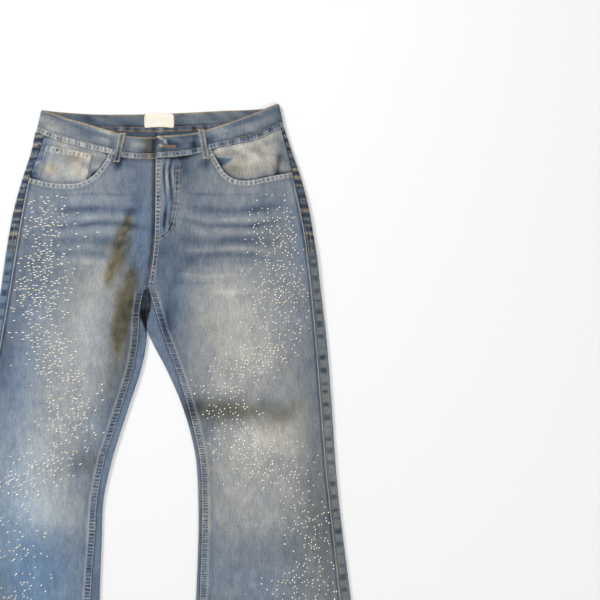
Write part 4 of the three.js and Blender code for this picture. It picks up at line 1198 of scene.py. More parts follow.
def make_front_loop(name, material):
    (tx, ty), (lx, ly) = FRONT_LOOPS[name]
    side = "left" if tx < 0 else "right"
    t = np.linspace(0, 1, 34)
    w = np.array([-1, -0.86, -0.6, -0.3, 0, 0.3, 0.6, 0.86, 1.0])
    x0, y0 = mix(tx, lx, t), mix(ty, ly, t)
    ends = 0.7 * (1 - smooth(t * 53, 0, 2)) + 0.5 * smooth(t, 0.96, 1)
    top = loop_height(side, x0, y0, t) + loop_arch(t) - ends
    x = x0[:, None] + w[None] * LOOP_WIDTH / 2 * (1 + 0.05 * np.sin(t * 9))[:, None]
    z = top[:, None] - 0.45 * (np.abs(w) ** 6)[None] + 0.18 * (ripple(t * 53, 2, 7) - 0.5)[:, None]
    y = y0[:, None] + 0 * w[None]
    shade = 0.45 + 0.3 * (np.abs(w) ** 3)[None] - 0.2 * ridge(w, 0, 0.34)[None] + 0 * y
    shade += 0.12 * value_noise(x * 2, y, 7, 71) - 0.3 * smooth(t, 0.5, 0.9)[:, None] * (side == "left")
    face = points(x, y, z)
    behind = face - points(0, 0, PATCH)
    olive = 0.14 + 0.4 * (w ** 2)[None] + 0 * x
    return shell(name + "_strip", [(face, behind)], material, [name], [cloth_colour(shade, 0.05, olive)])


def make_back_loop(name, material):
    x0, top, low = BACK_LOOPS[name]
    t = np.linspace(0, 1, 26)
    w = np.array([-1, -0.86, -0.5, 0, 0.5, 0.86, 1.0])
    x = x0 + w[None] * LOOP_WIDTH / 2 + 0 * t[:, None]
    y = mix(top, low, t)[:, None] + 0 * w[None]
    z = GROUND - 0.2 + 0.4 * (np.abs(w) ** 6)[None] + 0 * y
    shade = 0.48 + 0.15 * (np.abs(w) ** 4)[None] + 0.1 * value_noise(x * 2, y, 7, 72)
    face = points(x, y, z)
    behind = points(x, y, PATCH)
    return shell(name + "_strip", [(face, behind)], material, [name], [cloth_colour(shade, 0.3)])


LABEL = {"x": 27.0, "y": 531.0, "width": 52.0, "height": 24.0, "arch": 2.0, "low": BAND + GAP}


def label_point(u, v):
    x = LABEL["x"] + u * LABEL["width"] / 2
    y = LABEL["y"] + v * LABEL["height"] / 2 + LABEL["arch"] * (1 - u * u)
    return x, y


def make_label(material):
    u, v = np.meshgrid(np.linspace(-1, 1, 54), np.linspace(1, -1, 26))
    corner = np.maximum(np.abs(u) * 26 - 21.8, 0)
    x, y = label_point(u, v * (1 - (4.2 - np.sqrt(4.2 ** 2 - corner ** 2)) / 12))
    edge = np.minimum((1 - np.abs(u)) * 26, (1 - np.abs(v)) * 12)
    z = LABEL["low"] + 0.8 - 0.3 * (1 - smooth(edge, 0, 1.2)) + 0.12 * np.sin(u * 7) * (1 - v * v)
    face = points(x, y, z)
    behind = points(x, y, LABEL["low"])
    verts, faces = wall_data(face, behind)
    obj = make_mesh("waist_label", verts, faces, material)
    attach(obj, "root")
    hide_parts("label")
    return obj


# Sewing

STITCH_SIDES = 5
UNDER_STITCH = 0.56
STITCH_RINGS = ((-0.5, 0.25), (-0.3, 0.85), (0.0, 1.0), (0.3, 0.85), (0.5, 0.25))


class Sewing:
    """Collects stitches of one thread and makes them one mesh."""

    def __init__(self, name, material, radius):
        self.name, self.material, self.radius = name, material, radius
        self.middles, self.ways, self.ups, self.lengths = [], [], [], []

    def row(self, line, height, up=1.0, length=2.9, pitch=3.7, sunk=0.12):
        """Stitches along a line of x and y, on the surface that height(x, y) gives."""
        p = np.array(line, float)
        run = run_along(p)
        count = int(run[-1] / pitch)
        if count < 1:
            return
        at = (np.arange(count) + 0.5) * run[-1] / count
        reach = length / 2
        ends = []
        for shift in (-reach, reach):
            x = np.interp(at + shift, run, p[:, 0])
            y = np.interp(at + shift, run, p[:, 1])
            ends.append(points(x, y, height(x, y)))
        middle = (ends[0] + ends[1]) / 2
        x, y = middle[:, 0], middle[:, 1]
        middle[:, 2] = height(x, y) + up * (self.radius * 0.55 - sunk)
        way = ends[1] - ends[0]
        self.middles.append(middle)
        self.ways.append(way / np.linalg.norm(way, axis=1, keepdims=True))
        self.ups.append(np.tile([0.0, 0.0, up], (count, 1)))
        self.lengths.append(np.full(count, length))

    def tack(self, a, b, height, width, up=1.0):
        """A bar tack: close cross stitches from a to b."""
        a, b = np.array(a, float), np.array(b, float)
        way = (b - a) / np.linalg.norm(b - a)
        side = np.array([-way[1], way[0]]) * width / 2
        steps = max(3, int(np.linalg.norm(b - a) / 0.75))
        for t in np.linspace(0, 1, steps):
            middle = a + (b - a) * t
            self.row([middle - side, middle + side], height, up, width * 0.95, width * 0.99, 0.0)

    def make(self):
        middles = np.concatenate(self.middles)
        ways = np.concatenate(self.ways)
        ups = np.concatenate(self.ups)
        lengths = np.concatenate(self.lengths)
        across = np.cross(ups, ways)
        across /= np.linalg.norm(across, axis=1, keepdims=True)
        ups = np.cross(ways, across)
        angles = np.arange(STITCH_SIDES) * 2 * math.pi / STITCH_SIDES
        template = np.array([
            (along, size * math.cos(a), size * math.sin(a)) for along, size in STITCH_RINGS for a in angles
        ])
        n, k = len(middles), len(template)
        verts = (
            middles[:, None]
            + ways[:, None] * template[None, :, :1] * lengths[:, None, None]
            + across[:, None] * template[None, :, 1:2] * self.radius
            + ups[:, None] * template[None, :, 2:] * self.radius
        ).reshape(-1, 3)
        quads = []
        for r in range(0, (len(STITCH_RINGS) - 1) * STITCH_SIDES, STITCH_SIDES):
            for i in range(STITCH_SIDES):
                j = (i + 1) % STITCH_SIDES
                quads.append((r + i, r + j, r + STITCH_SIDES + j, r + STITCH_SIDES + i))
        faces = (np.array(quads)[None] + (np.arange(n) * k)[:, None, None]).reshape(-1, 4)
        obj = make_mesh(self.name, verts, faces[:, ::-1], self.material)
        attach(obj, "root")
        return obj


def beside(line, shift):
    """A line moved sideways: to its left where shift is positive."""
    p = np.array(line, float)
    way = np.gradient(p, axis=0)
    way /= np.linalg.norm(way, axis=1, keepdims=True)
    return p + np.stack([-way[:, 1], way[:, 0]], axis=1) * shift


def vertical(curve_x, high, low, shift=0.0):
    y = np.linspace(high, low, max(4, int(abs(high - low) / 6)))
    return np.stack([curve_x(y) + shift, y], axis=1)


def level(z):
    """A surface of one height."""
    def height(x, y):
        return z + 0 * x
    return height


def on_band(side, lift):
    """The waistband's front, lifted a little."""
    def height(x, y):
        return band_height(side, x) + 0 * y + lift
    return height


def below_back(side):
    """The underside of a back, where its stitches lie."""
    def height(x, y):
        return under_height(side, x, y) + UNDER_STITCH - GROUND
    return height


def sew_front(side, thread, orange):
    """Seams, pocket mouth and hem of a front, and the rows on the strip beside its hip."""
    def strip_top(x, y):
        return panel_top(y) + 0 * x

    s = SIGN[side]
    on_front = partial(front_relief, side)
    thread.row(vertical(outseam[side], 425, HEM_Y + 4, -s * 1.7), on_front)
    thread.row(vertical(inseam[side], 228, HEM_Y + 4, s * 1.6), on_front)
    thread.row(vertical(inseam[side], 226, HEM_Y + 4, s * 11.4), on_front)
    mouth = np.array(inside_panel(side, scoop_line[side], 1))
    for shift in (1.9, 7.4):
        thread.row(beside(mouth, -s * shift), on_front)
    hem_y = HEM_TOP - 1.5
    hem = [[x, hem_y] for x in np.linspace(float(outseam[side](hem_y)), float(inseam[side](hem_y)), 30)]
    thread.row(hem, on_front)
    for shift in (2.0, 8.0):
        thread.row(vertical(outseam[side], 347, 305, s * shift), strip_top)
    seam_x = float(outseam[side](305))
    orange.tack((seam_x + s * 1.5, 304), (seam_x + s * 8.5, 304), strip_top, 2.4)
    first = mouth[-1]
    orange.tack(first + (-s * 1.0, -1.0), first + (-s * 1.6, -8.0), on_front, 2.0)


def sew_fly(thread, orange):
    """Two rows beside the fly, its J, its bar tacks and the row of the side below."""
    on_right = partial(front_relief, "right")
    for shift in (1.9, 8.2):
        thread.row(vertical(centre_x, 464, 248, shift), on_right)
    j = soften(J_LINE, 60)
    for shift in (2.2, -3.4):
        thread.row(beside(j, shift), on_right)
    orange.tack((22, 331), (30, 328.5), on_right, 3.0)
    orange.tack((20.5, 320), (20.5, 328), on_right, 2.0)
    orange.row(vertical(centre_x, 330, 250, -1.3), partial(front_relief, "left"))


def sew_coin_pocket(thread):
    """Two rows at the hem and the right edge, and one at the left edge."""
    along = np.linspace(0.02, 0.98, 20)
    lines = [coin_point(along, np.full(20, inset / COIN_TALL)) for inset in (2.2, 8.0)]
    down = np.linspace(0.03, 0.72, 20)
    lines += [coin_point(np.full(20, 1 - inset / COIN_WIDE), down) for inset in (2.0, 7.4)]
    lines.append(coin_point(np.full(20, 2.0 / COIN_WIDE), np.linspace(0.03, 0.7, 20)))
    for line in lines:
        thread.row(line, coin_height)


def sew_waistband(thread, orange):
    """One row along the top of the waistband and a double row at its foot, in front and behind."""
    front_tall, back_tall = 39, 32
    front_rows = ((2.6 / front_tall, 0.0), (1 - 9.6 / front_tall, -0.1), (1 - 2.0 / front_tall, -0.1))
    for key in ("left", "right"):
        rows = BAND_EDGES[key]
        first, last = rows[0], rows[-1] if key == "right" else rows[-2]
        t = np.linspace(0.01, 1, 60)
        top_x, low_x = mix(first[0], last[0], t), mix(first[2], last[2], t)
        top = np.stack([top_x, band_top_y[key](top_x)], axis=1)
        low = np.stack([low_x, waist_seam[key](low_x)], axis=1)
        for share, lift in front_rows:
            thread.row(mix(top, low, share), on_band(key, lift))
    back = BAND_EDGES["back"]
    x = np.linspace(back[0][0] + 4, back[-1][0] - 4, 80)
    for share in (1 - 2.2 / back_tall, 1 - 8.4 / back_tall):
        line = np.stack([x, mix(band_top_y["back"](x), waist_seam["back"](x), share)], axis=1)
        orange.row(line, level(BAND))
        thread.row(line, level(UNDER_STITCH), -1.0)
    thread.row(np.stack([x, band_top_y["back"](x) - 2.4], axis=1), level(UNDER_STITCH), -1.0)


def sew_front_loop(name, thread):
    """Both edges of a front loop and the tacks at its ends."""
    (tx, ty), (lx, ly) = FRONT_LOOPS[name]
    side = "left" if tx < 0 else "right"

    def on_loop(x, y):
        t = np.clip((ty - y) / (ty - ly), 0, 1)
        return loop_height(side, x, y, t) + loop_arch(t) - 0.1

    for shift in (-3.3, 3.3):
        thread.row([(mix(tx, lx, t) + shift, mix(ty, ly, t)) for t in (0.03, 0.5, 0.97)], on_loop)
    for t in (0.05, 0.94):
        x, y = mix(tx, lx, t), mix(ty, ly, t)
        thread.tack((x - 4, y), (x + 4, y), on_loop, 1.8)


def sew_back(side, thread):
    """Yoke seam, patch pocket and hem, on the underside."""
    s = SIGN[side]
    under = level(UNDER_STITCH)
    x = np.linspace(float(centre_x(YOKE_Y)) + s * 3, float(outer_fold[side](481.0)) - s * 4, 60)
    for shift in (-2.0, -8.0):
        thread.row(np.stack([x, yoke_line(x) + shift], axis=1), below_back(side), -1.0)
    rim = pocket_outline(side)
    middle = rim.mean(axis=0)
    for inset in (2.2, 8.0):
        inner = middle + (rim - middle) * (1 - inset / 72)
        thread.row(resample(inner[[0, 4, 3, 2, 1]], 90), under, -1.0)
        thread.row(resample(inner[[0, 1]], 30), under, -1.0)
    hem_y = HEM_TOP - 1.5
    ends = float(outer_fold[side](hem_y)) - s * 4, float(inner_fold[side](hem_y)) + s * 4
    thread.row([[x, hem_y] for x in np.linspace(*ends, 30)], under, -1.0)


def sew(thread, orange):
    for side in SIGN:
        sew_front(side, thread, orange)
    sew_fly(thread, orange)
    sew_coin_pocket(thread)
    sew_waistband(thread, orange)
    for name in FRONT_LOOPS:
        sew_front_loop(name, thread)
    for x, top, low in BACK_LOOPS.values():
        for shift in (-3.3, 3.3):
            thread.row([(x + shift, top - 1), (x + shift, low + 1)], level(UNDER_STITCH), -1.0)
    for side in SIGN:
        sew_back(side, thread)
    for shift in (2.0, 8.0):
        thread.row(vertical(centre_x, YOKE_Y + 60, 250, shift), below_back("right"), -1.0)
    for u in (-0.95, 0.95):
        x, y = label_point(np.full(10, u), np.linspace(0.86, -0.86, 10))
        orange.row(np.stack([x, y], axis=1), level(LABEL["low"] + 0.8))


def buttonhole(orange):
    """Close stitches round the slit of the buttonhole."""
    centre = np.array([44.0, 487.0])
    half, gap, width = 10.0, 0.7, 1.9
    lines = []
    for side in (-1, 1):
        for x in np.arange(-half, half + 0.1, 0.72):
            lines.append([centre + (x, side * gap * 0.5), centre + (x, side * (gap * 0.5 + width))])
    for end in (-1, 1):
        for angle in np.radians(np.linspace(-80, 80, 9)):
            way = np.array([end * math.cos(angle), math.sin(angle)])
            start = centre + (end * half, 0) + way * gap * 0.4
            lines.append([start, start + way * width])
    for line in lines:
        orange.row(line, on_band("right", 0.2), 1.0, width, width * 0.99, 0.0)


# Stones: middle line of each scattered band, its spread to the sides and how thickly it is strewn
STONE_BANDS = {
    "left": [
        (-166, 398, 15, 0.4), (-166, 386, 18, 0.9), (-167, 345, 24, 1.5), (-173, 304, 28, 1.6),
        (-180, 260, 28, 1.7), (-181, 212, 25, 1.5), (-175, 160, 24, 1.2), (-155, 104, 22, 1.0),
        (-131, 43, 24, 0.9), (-122, -5, 25, 1.0), (-142, -54, 32, 0.8), (-197, -83, 30, 0.7),
        (-230, -118, 28, 0.55), (-238, -174, 26, 0.45), (-230, -231, 30, 0.55), (-200, -283, 36, 0.7),
        (-175, -340, 38, 0.6), (-165, -395, 36, 0.6), (-190, -450, 36, 0.6), (-235, -500, 34, 0.6),
        (-265, -540, 30, 0.5),
    ],
    "right": [
        (237, 390, 26, 0.3), (235, 347, 26, 1.4), (237, 299, 28, 1.7), (240, 247, 30, 1.5),
        (246, 194, 28, 1.1), (232, 142, 28, 0.9), (200, 113, 30, 1.1), (168, 90, 32, 1.3),
        (143, 38, 31, 0.95), (154, -9, 31, 1.1), (199, -52, 38, 1.2), (255, -101, 32, 0.8),
        (287, -153, 24, 0.65), (296, -205, 22, 0.95), (284, -264, 31, 1.05), (255, -330, 38, 0.8),
        (225, -390, 38, 0.7), (205, -440, 38, 0.7), (230, -490, 40, 0.7), (265, -535, 36, 0.6),
    ],
}
STONES = {"left": 880, "right": 980}
STONE_RADIUS = {"left": 0.96, "right": 1.15}
STONE_SPACE = 3.8
# How many times longer than wide the stones are. Their lean in degrees at the thigh and below the knee, and
# the heights between which it changes.
STONE_LENGTH = {"left": (2.1, 3.0), "right": (1.0, 1.5)}
STONE_LEAN = {"left": (4, 36, 130, 40), "right": (30, 62, 160, -160)}


def scatter(side, rng):
    """Places of the stones: a random drift along the band, none touching another."""
    line = np.array(STONE_BANDS[side], float)
    run = run_along(line[:, :2])
    stations = np.linspace(0, run[-1], 400)
    dense = np.interp(stations, run, line[:, 3]) * (1 + 0.35 * np.sin(stations * 0.05))
    share = np.cumsum(dense) / dense.sum()
    s = SIGN[side]
    kept = np.empty((0, 2))
    tries = 0
    while len(kept) < STONES[side] and tries < 40000:
        tries += 1
        at = np.interp(rng.uniform(), share, stations)
        x0, y0, spread = (np.interp(at, run, line[:, k]) for k in range(3))
        p = np.array([x0 + rng.normal() * spread, y0 + rng.normal() * 9.0])
        out = s * (float(outseam[side](p[1])) - p[0])
        inn = s * (p[0] - float(front_edge(side, p[1])))
        if out < 5 or inn < 17 or p[1] < HEM_Y + 22 or p[1] > 404:
            continue
        if len(kept) and np.min(np.hypot(*(kept - p).T)) < STONE_SPACE:
            continue
        kept = np.vstack([kept, p])
    return kept


def make_stones(side, material):
    rng = np.random.default_rng(17 if side == "left" else 29)
    places = scatter(side, rng)
    n = len(places)
    x, y = places[:, 0], places[:, 1]
    d = 1.2
    z = front_relief(side, x, y)
    slope_x = (front_relief(side, x + d, y) - z) / d
    slope_y = (front_relief(side, x, y + d) - z) / d
    tilt_x = slope_x + rng.normal(0, 0.1, n)
    tilt_y = slope_y + rng.normal(0, 0.1, n)
    size = STONE_RADIUS[side] * rng.uniform(0.85, 1.12, n)
    long = rng.uniform(*STONE_LENGTH[side], n)
    high, low, start, stop = STONE_LEAN[side]
    lean = np.radians(mix(high, low, smooth(-y, -start, -stop)) + rng.normal(0, 10, n))
    sides = 8
    angles = np.arange(sides) * 2 * math.pi / sides
    rings = [(0.96, 0.0), (1.0, 0.22), (0.56, 0.72)]
    verts = []
    for grow, lift in rings:
        a = angles + (math.pi / sides if lift > 0.5 else 0)
        along = np.cos(a)[None] * (grow * size * long)[:, None]
        aside = np.sin(a)[None] * (grow * size)[:, None]
        dx = along * np.cos(lean)[:, None] - aside * np.sin(lean)[:, None]
        dy = along * np.sin(lean)[:, None] + aside * np.cos(lean)[:, None]
        dz = lift * size[:, None] + dx * tilt_x[:, None] + dy * tilt_y[:, None] - 0.05
        verts.append(np.stack([x[:, None] + dx, y[:, None] + dy, z[:, None] + dz], axis=-1))
    verts = np.concatenate(verts, axis=1)
    k = verts.shape[1]
    tris = []
    for i in range(sides):
        j = (i + 1) % sides
        tris += [(i, j, sides + j), (i, sides + j, sides + i)]
        tris += [(sides + i, sides + j, 2 * sides + i), (sides + j, 2 * sides + j, 2 * sides + i)]
        if i:
            tris.append((0, j, i))
        if 0 < i < sides - 1:
            tris.append((2 * sides, 2 * sides + i, 2 * sides + i + 1))
    tris = [t for t in tris if len(set(t)) == 3]
    faces = (np.array(tris)[None] + (np.arange(n) * k)[:, None, None]).reshape(-1, 3)
    tone = rng.uniform(0, 1, n)
    warm, cool = linear((255, 247, 216)), linear((250, 250, 255))
    is_cool = tone[:, None] > (0.85 if side == "left" else 0.7)
    rgb = np.where(is_cool, cool, warm) * rng.uniform(0.86, 1.0, n)[:, None]
    rgba = np.concatenate([np.repeat(rgb, k, axis=0), np.ones((n * k, 1))], axis=1)
    obj = make_mesh(f"stones_{side}", verts.reshape(-1, 3), faces, material, rgba, smooth_shade=False)
    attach(obj, "root")
    return obj


ZIP_TEETH = {
    "x": 27.6, "low": 340.0, "high": 444.0, "pitch": 2.6, "width": 4.6, "length": 1.5, "z": (6.15, 6.55),
}


def make_zip_teeth(material):
    """Closed teeth along the middle of the zip tape."""
    stations = np.arange(ZIP_TEETH["low"], ZIP_TEETH["high"], ZIP_TEETH["pitch"])
    corners = np.array([(i, j, k) for i in (-0.5, 0.5) for j in (-0.5, 0.5) for k in (0, 1)], float)
    low, high = ZIP_TEETH["z"]
    verts = []
    for n, y in enumerate(stations):
        x = ZIP_TEETH["x"] + (0.5 if n % 2 else -0.5)
        for i, j, k in corners:
            verts.append((x + i * ZIP_TEETH["width"], y + j * ZIP_TEETH["length"], mix(low, high, k)))
    box = np.array([(0, 1, 3, 2), (4, 6, 7, 5), (0, 4, 5, 1), (2, 3, 7, 6), (0, 2, 6, 4), (1, 5, 7, 3)])
    faces = (box[None] + (np.arange(len(stations)) * 8)[:, None, None]).reshape(-1, 4)
    obj = make_mesh("zip_teeth", verts, faces, material, smooth_shade=False)
    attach(obj, "root")
    return obj


# Materials

def new_material(name, roughness):
    material = bpy.data.materials.new(name)
    material.use_nodes = True
    bsdf = material.node_tree.nodes["Principled BSDF"]
    bsdf.inputs["Roughness"].default_value = roughness
    return material, material.node_tree, bsdf


def add(tree, kind, **values):
    node = tree.nodes.new(kind)
    for key, value in values.items():
        if hasattr(node, key):
            setattr(node, key, value)
        else:
            node.inputs[key].default_value = value
    return node


def math_node(tree, operation, a, b=None):
    node = tree.nodes.new("ShaderNodeMath")
    node.operation = operation
    for i, value in enumerate((a, b)):
        if value is None:
            continue
        if isinstance(value, (int, float)):
            node.inputs[i].default_value = value
        else:
            tree.links.new(value, node.inputs[i])
    return node.outputs[0]


# Sockets of a Mix node that mixes colours
MIX_COLOUR_INPUTS = (0, 6, 7)
MIX_COLOUR_OUTPUT = 2


def denim_material():
    """Washed denim: the wash colour with its painted shade and highlights, a diagonal twill, slubs down the
    warp and a soft nap.
    """
    material, tree, bsdf = new_material("washed_denim", 0.88)
    link = tree.links.new
    plus = partial(math_node, tree, "ADD")
    times = partial(math_node, tree, "MULTIPLY")
    wash = add(tree, "ShaderNodeAttribute", attribute_name="wash")
    place = add(tree, "ShaderNodeTexCoord")
    split = add(tree, "ShaderNodeSeparateXYZ")
    link(place.outputs["Object"], split.inputs[0])
    x, y = split.outputs["X"], split.outputs["Y"]
    diagonal = plus(times(x, 5200.0), times(y, 3300.0))
    twill = math_node(tree, "SINE", diagonal)
    stretch = add(tree, "ShaderNodeMapping")
    stretch.inputs["Scale"].default_value = (520.0, 85.0, 300.0)
    link(place.outputs["Object"], stretch.inputs["Vector"])
    slub = add(tree, "ShaderNodeTexNoise", Scale=1.0, Detail=4.0, Roughness=0.6)
    link(stretch.outputs[0], slub.inputs["Vector"])
    mottle = add(tree, "ShaderNodeTexNoise", Scale=330.0, Detail=4.0, Roughness=0.7)
    link(place.outputs["Object"], mottle.inputs["Vector"])
    grain = plus(plus(slub.outputs["Fac"], -0.5), times(plus(mottle.outputs["Fac"], -0.5), 0.9))
    grain = plus(grain, times(twill, 0.05))
    rungs = add(tree, "ShaderNodeAttribute", attribute_name="rungs")
    parts = add(tree, "ShaderNodeSeparateColor")
    link(rungs.outputs["Color"], parts.inputs[0])
    jitter = add(tree, "ShaderNodeTexNoise", Scale=260.0, Detail=2.0)
    link(place.outputs["Object"], jitter.inputs["Vector"])
    patchy = add(tree, "ShaderNodeTexNoise", Scale=95.0, Detail=2.0)
    link(place.outputs["Object"], patchy.inputs["Vector"])
    phase = plus(times(parts.outputs[0], 2 * math.pi),
                 times(jitter.outputs["Fac"], 8.0))
    block = add(tree, "ShaderNodeMapRange", interpolation_type="SMOOTHSTEP")
    link(math_node(tree, "SINE", phase), block.inputs["Value"])
    block.inputs["From Min"].default_value = -0.1
    block.inputs["From Max"].default_value = 0.55
    uneven = add(tree, "ShaderNodeMapRange")
    link(patchy.outputs["Fac"], uneven.inputs["Value"])
    uneven.inputs["From Min"].default_value = 0.32
    uneven.inputs["From Max"].default_value = 0.62
    uneven.inputs["To Min"].default_value = 0.25
    uneven.inputs["To Max"].default_value = 0.95
    dark = times(times(block.outputs["Result"], parts.outputs[1]),
                 uneven.outputs["Result"])
    fuzz = times(math_node(tree, "SUBTRACT", 1.0, block.outputs["Result"]),
                 times(parts.outputs[1], 0.35))
    gain = plus(plus(grain, 1.0), fuzz)
    scaled = add(tree, "ShaderNodeVectorMath", operation="SCALE")
    link(wash.outputs["Color"], scaled.inputs[0])
    link(gain, scaled.inputs["Scale"])
    worn = add(tree, "ShaderNodeMix", data_type="RGBA")
    share, cloth, navy = (worn.inputs[k] for k in MIX_COLOUR_INPUTS)
    link(dark, share)
    link(scaled.outputs[0], cloth)
    navy.default_value = (*linear((46, 58, 84)), 1)
    link(worn.outputs[MIX_COLOUR_OUTPUT], bsdf.inputs["Base Color"])
    height = plus(times(twill, 0.5), times(slub.outputs["Fac"], 1.4))
    bump = add(tree, "ShaderNodeBump", Strength=0.5, Distance=0.0002)
    link(height, bump.inputs["Height"])
    link(bump.outputs[0], bsdf.inputs["Normal"])
    bsdf.inputs["Sheen Weight"].default_value = 0.12
    bsdf.inputs["Sheen Roughness"].default_value = 0.5
    bsdf.inputs["Specular IOR Level"].default_value = 0.25
    return material


def thread_material(name, colour):
    """Twisted sewing thread with a faint ply and uneven dye."""
    material, tree, bsdf = new_material(name, 0.6)
    link = tree.links.new
    place = add(tree, "ShaderNodeTexCoord")
    noise = add(tree, "ShaderNodeTexNoise", Scale=160.0, Detail=2.0)
    link(place.outputs["Object"], noise.inputs["Vector"])
    ramp = add(tree, "ShaderNodeValToRGB")
    ramp.color_ramp.elements[0].position = 0.3
    ramp.color_ramp.elements[1].position = 0.7
    ramp.color_ramp.elements[0].color = (*(linear(colour) * 0.62), 1)
    ramp.color_ramp.elements[1].color = (*linear(colour), 1)
    link(noise.outputs["Fac"], ramp.inputs["Fac"])
    link(ramp.outputs["Color"], bsdf.inputs["Base Color"])
    ply = add(tree, "ShaderNodeTexNoise", Scale=2600.0, Detail=1.0)
    link(place.outputs["Object"], ply.inputs["Vector"])
    bump = add(tree, "ShaderNodeBump", Strength=0.4, Distance=0.0001)
    link(ply.outputs["Fac"], bump.inputs["Height"])
    link(bump.outputs[0], bsdf.inputs["Normal"])
    return material


def label_material():
    """Cream satin tape with a fine cross weave."""
    material, tree, bsdf = new_material("label_tape", 0.6)
    link = tree.links.new
    place = add(tree, "ShaderNodeTexCoord")
    wave = add(tree, "ShaderNodeTexWave", Scale=1100.0, Distortion=0.4)
    link(place.outputs["Object"], wave.inputs["Vector"])
    noise = add(tree, "ShaderNodeTexNoise", Scale=90.0, Detail=3.0)
    link(place.outputs["Object"], noise.inputs["Vector"])
    ramp = add(tree, "ShaderNodeValToRGB")
    ramp.color_ramp.elements[0].color = (*linear((232, 224, 204)), 1)
    ramp.color_ramp.elements[1].color = (*linear((252, 246, 231)), 1)
    link(noise.outputs["Fac"], ramp.inputs["Fac"])
    link(ramp.outputs["Color"], bsdf.inputs["Base Color"])
    bump = add(tree, "ShaderNodeBump", Strength=0.3, Distance=0.0001)
    link(wave.outputs["Fac"], bump.inputs["Height"])
    link(bump.outputs[0], bsdf.inputs["Normal"])
    bsdf.inputs["Sheen Weight"].default_value = 0.2
    return material


def stone_material():
    """Faceted stones with a pale pearly body."""
    material, tree, bsdf = new_material("pressed_stone", 0.16)
    wash = add(tree, "ShaderNodeAttribute", attribute_name="wash")
    tree.links.new(wash.outputs["Color"], bsdf.inputs["Base Color"])
    bsdf.inputs["Metallic"].default_value = 0.15
    bsdf.inputs["Coat Weight"].default_value = 1.0
    bsdf.inputs["Coat Roughness"].default_value = 0.05
    bsdf.inputs["Specular IOR Level"].default_value = 0.8
    return material


def metal_material():
    """Aged brass of the hidden button and slider."""
    material, tree, bsdf = new_material("aged_brass", 0.4)
    link = tree.links.new
    place = add(tree, "ShaderNodeTexCoord")
    noise = add(tree, "ShaderNodeTexNoise", Scale=260.0, Detail=4.0)
    link(place.outputs["Object"], noise.inputs["Vector"])
    ramp = add(tree, "ShaderNodeValToRGB")
    ramp.color_ramp.elements[0].color = (0.16, 0.1, 0.04, 1)
    ramp.color_ramp.elements[1].color = (0.46, 0.33, 0.16, 1)
    link(noise.outputs["Fac"], ramp.inputs["Fac"])
    link(ramp.outputs["Color"], bsdf.inputs["Base Color"])
    bsdf.inputs["Metallic"].default_value = 1.0
    return material


def tape_material():
    """Dark woven tape of the zip and the fly shield."""
    material, tree, bsdf = new_material("fly_tape", 0.85)
    link = tree.links.new
    place = add(tree, "ShaderNodeTexCoord")
    wave = add(tree, "ShaderNodeTexWave", Scale=700.0, Distortion=0.6)
    link(place.outputs["Object"], wave.inputs["Vector"])
    ramp = add(tree, "ShaderNodeValToRGB")
    ramp.color_ramp.elements[0].color = (0.03, 0.045, 0.07, 1)
    ramp.color_ramp.elements[1].color = (0.07, 0.1, 0.15, 1)
    link(wave.outputs["Fac"], ramp.inputs["Fac"])
    link(ramp.outputs["Color"], bsdf.inputs["Base Color"])
    bump = add(tree, "ShaderNodeBump", Strength=0.5, Distance=0.0002)
    link(wave.outputs["Fac"], bump.inputs["Height"])
    link(bump.outputs[0], bsdf.inputs["Normal"])
    return material


def floor_material():
    material, tree, bsdf = new_material("pale_floor", 0.9)
    bsdf.inputs["Base Color"].default_value = (0.96, 0.96, 0.96, 1)
    return material


# Build

denim = denim_material()
pieces = {}
for side in SIGN:
    pieces[f"front_{side}"] = make_front(side, denim)
    pieces[f"facing_{side}"] = make_facing(side, denim)
    pieces[f"yoke_{side}"], pieces[f"back_{side}"] = make_back(side, denim)
    pieces[f"pocket_{side}"] = make_back_pocket(side, denim)
pieces["coin"] = make_coin_pocket(denim)
pieces["band"] = make_waistband(denim)
for name in FRONT_LOOPS:
    pieces[name] = make_front_loop(name, denim)
for name in BACK_LOOPS:
    pieces[name] = make_back_loop(name, denim)
pieces["label"] = make_label(label_material())

pale_thread = Sewing("stitching", thread_material("pale_thread", (222, 206, 172)), 0.42)
orange_thread = Sewing("stitching_orange", thread_material("orange_thread", (190, 148, 104)), 0.34)
sew(pale_thread, orange_thread)
buttonhole(orange_thread)
stitching = pale_thread.make()
stitching_orange = orange_thread.make()

stone = stone_material()
stones = {side: make_stones(side, stone) for side in SIGN}

brass = metal_material()
tape = tape_material()
for node, material in (("waist_button", brass), ("zip_slider", brass), ("zip", tape), ("fly_shield", tape)):
    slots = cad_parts[node].material_slots
    slots[0].material = material
make_zip_teeth(brass)

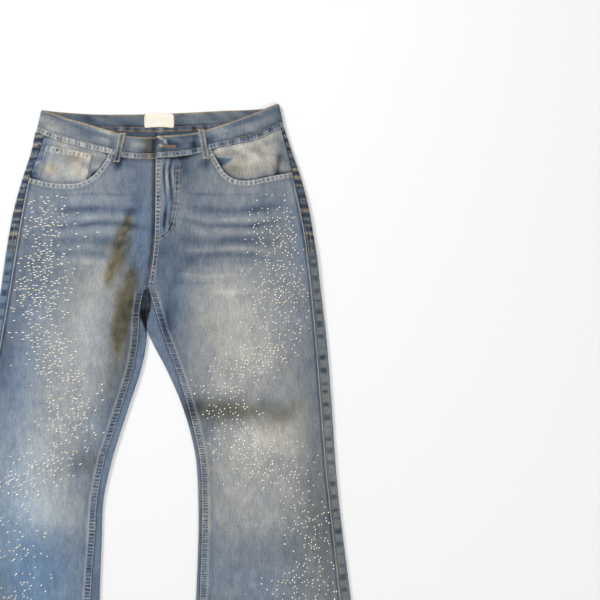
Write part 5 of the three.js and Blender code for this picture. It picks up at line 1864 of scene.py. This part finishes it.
# Floor, light and camera
floor_mesh = bpy.data.meshes.new("floor")
floor_mesh.from_pydata([(-6, -6, 0), (6, -6, 0), (6, 6, 0), (-6, 6, 0)], [], [(0, 1, 2, 3)])
floor_mesh.materials.append(floor_material())
floor = bpy.data.objects.new("floor", floor_mesh)
bpy.context.scene.collection.objects.link(floor)


def area_light(name, place, target, size, power):
    data = bpy.data.lights.new(name, "AREA")
    data.energy = power
    data.size = size
    data.shape = "DISK"
    light = bpy.data.objects.new(name, data)
    light.location = place
    light.rotation_mode = "QUATERNION"
    light.rotation_quaternion = (Vector(target) - Vector(place)).to_track_quat("-Z", "Y")
    bpy.context.scene.collection.objects.link(light)


area_light("key", (-1.7, 2.3, 1.6), (0.1, 0.1, 0.0), 0.8, 66.0)
area_light("fill", (1.8, -1.4, 2.6), (0.1, 0.0, 0.0), 2.2, 23.5)
area_light("top", (0.1, 0.2, 3.4), (0.1, 0.2, 0.0), 2.4, 25.5)
world = bpy.data.worlds.new("studio")
world.use_nodes = True
world.node_tree.nodes["Background"].inputs["Color"].default_value = (1, 1, 1, 1)
world.node_tree.nodes["Background"].inputs["Strength"].default_value = 0.38
bpy.context.scene.world = world
bpy.context.scene.view_settings.view_transform = "Standard"

# The photo's frame: 600 pixels of 1.736 mm, with the garment's middle line at pixel 143.5
PIXEL = 1.736
FRAME_PIXELS = 600
PHOTO_X0 = 143.5
PHOTO_Y0 = 427.0
CAMERA_HEIGHT = 3.2
SENSOR = 36.0
camera_data = bpy.data.cameras.new("camera")
camera_data.sensor_width = SENSOR
camera_data.lens = SENSOR * CAMERA_HEIGHT / (FRAME_PIXELS * PIXEL * MM)
camera = bpy.data.objects.new("camera", camera_data)
middle_x = (FRAME_PIXELS / 2 - PHOTO_X0) * PIXEL * MM
middle_y = (PHOTO_Y0 - FRAME_PIXELS / 2) * PIXEL * MM
camera.location = (middle_x, middle_y, CAMERA_HEIGHT + HIP_TOP * MM)
bpy.context.scene.collection.objects.link(camera)
bpy.context.scene.camera = camera
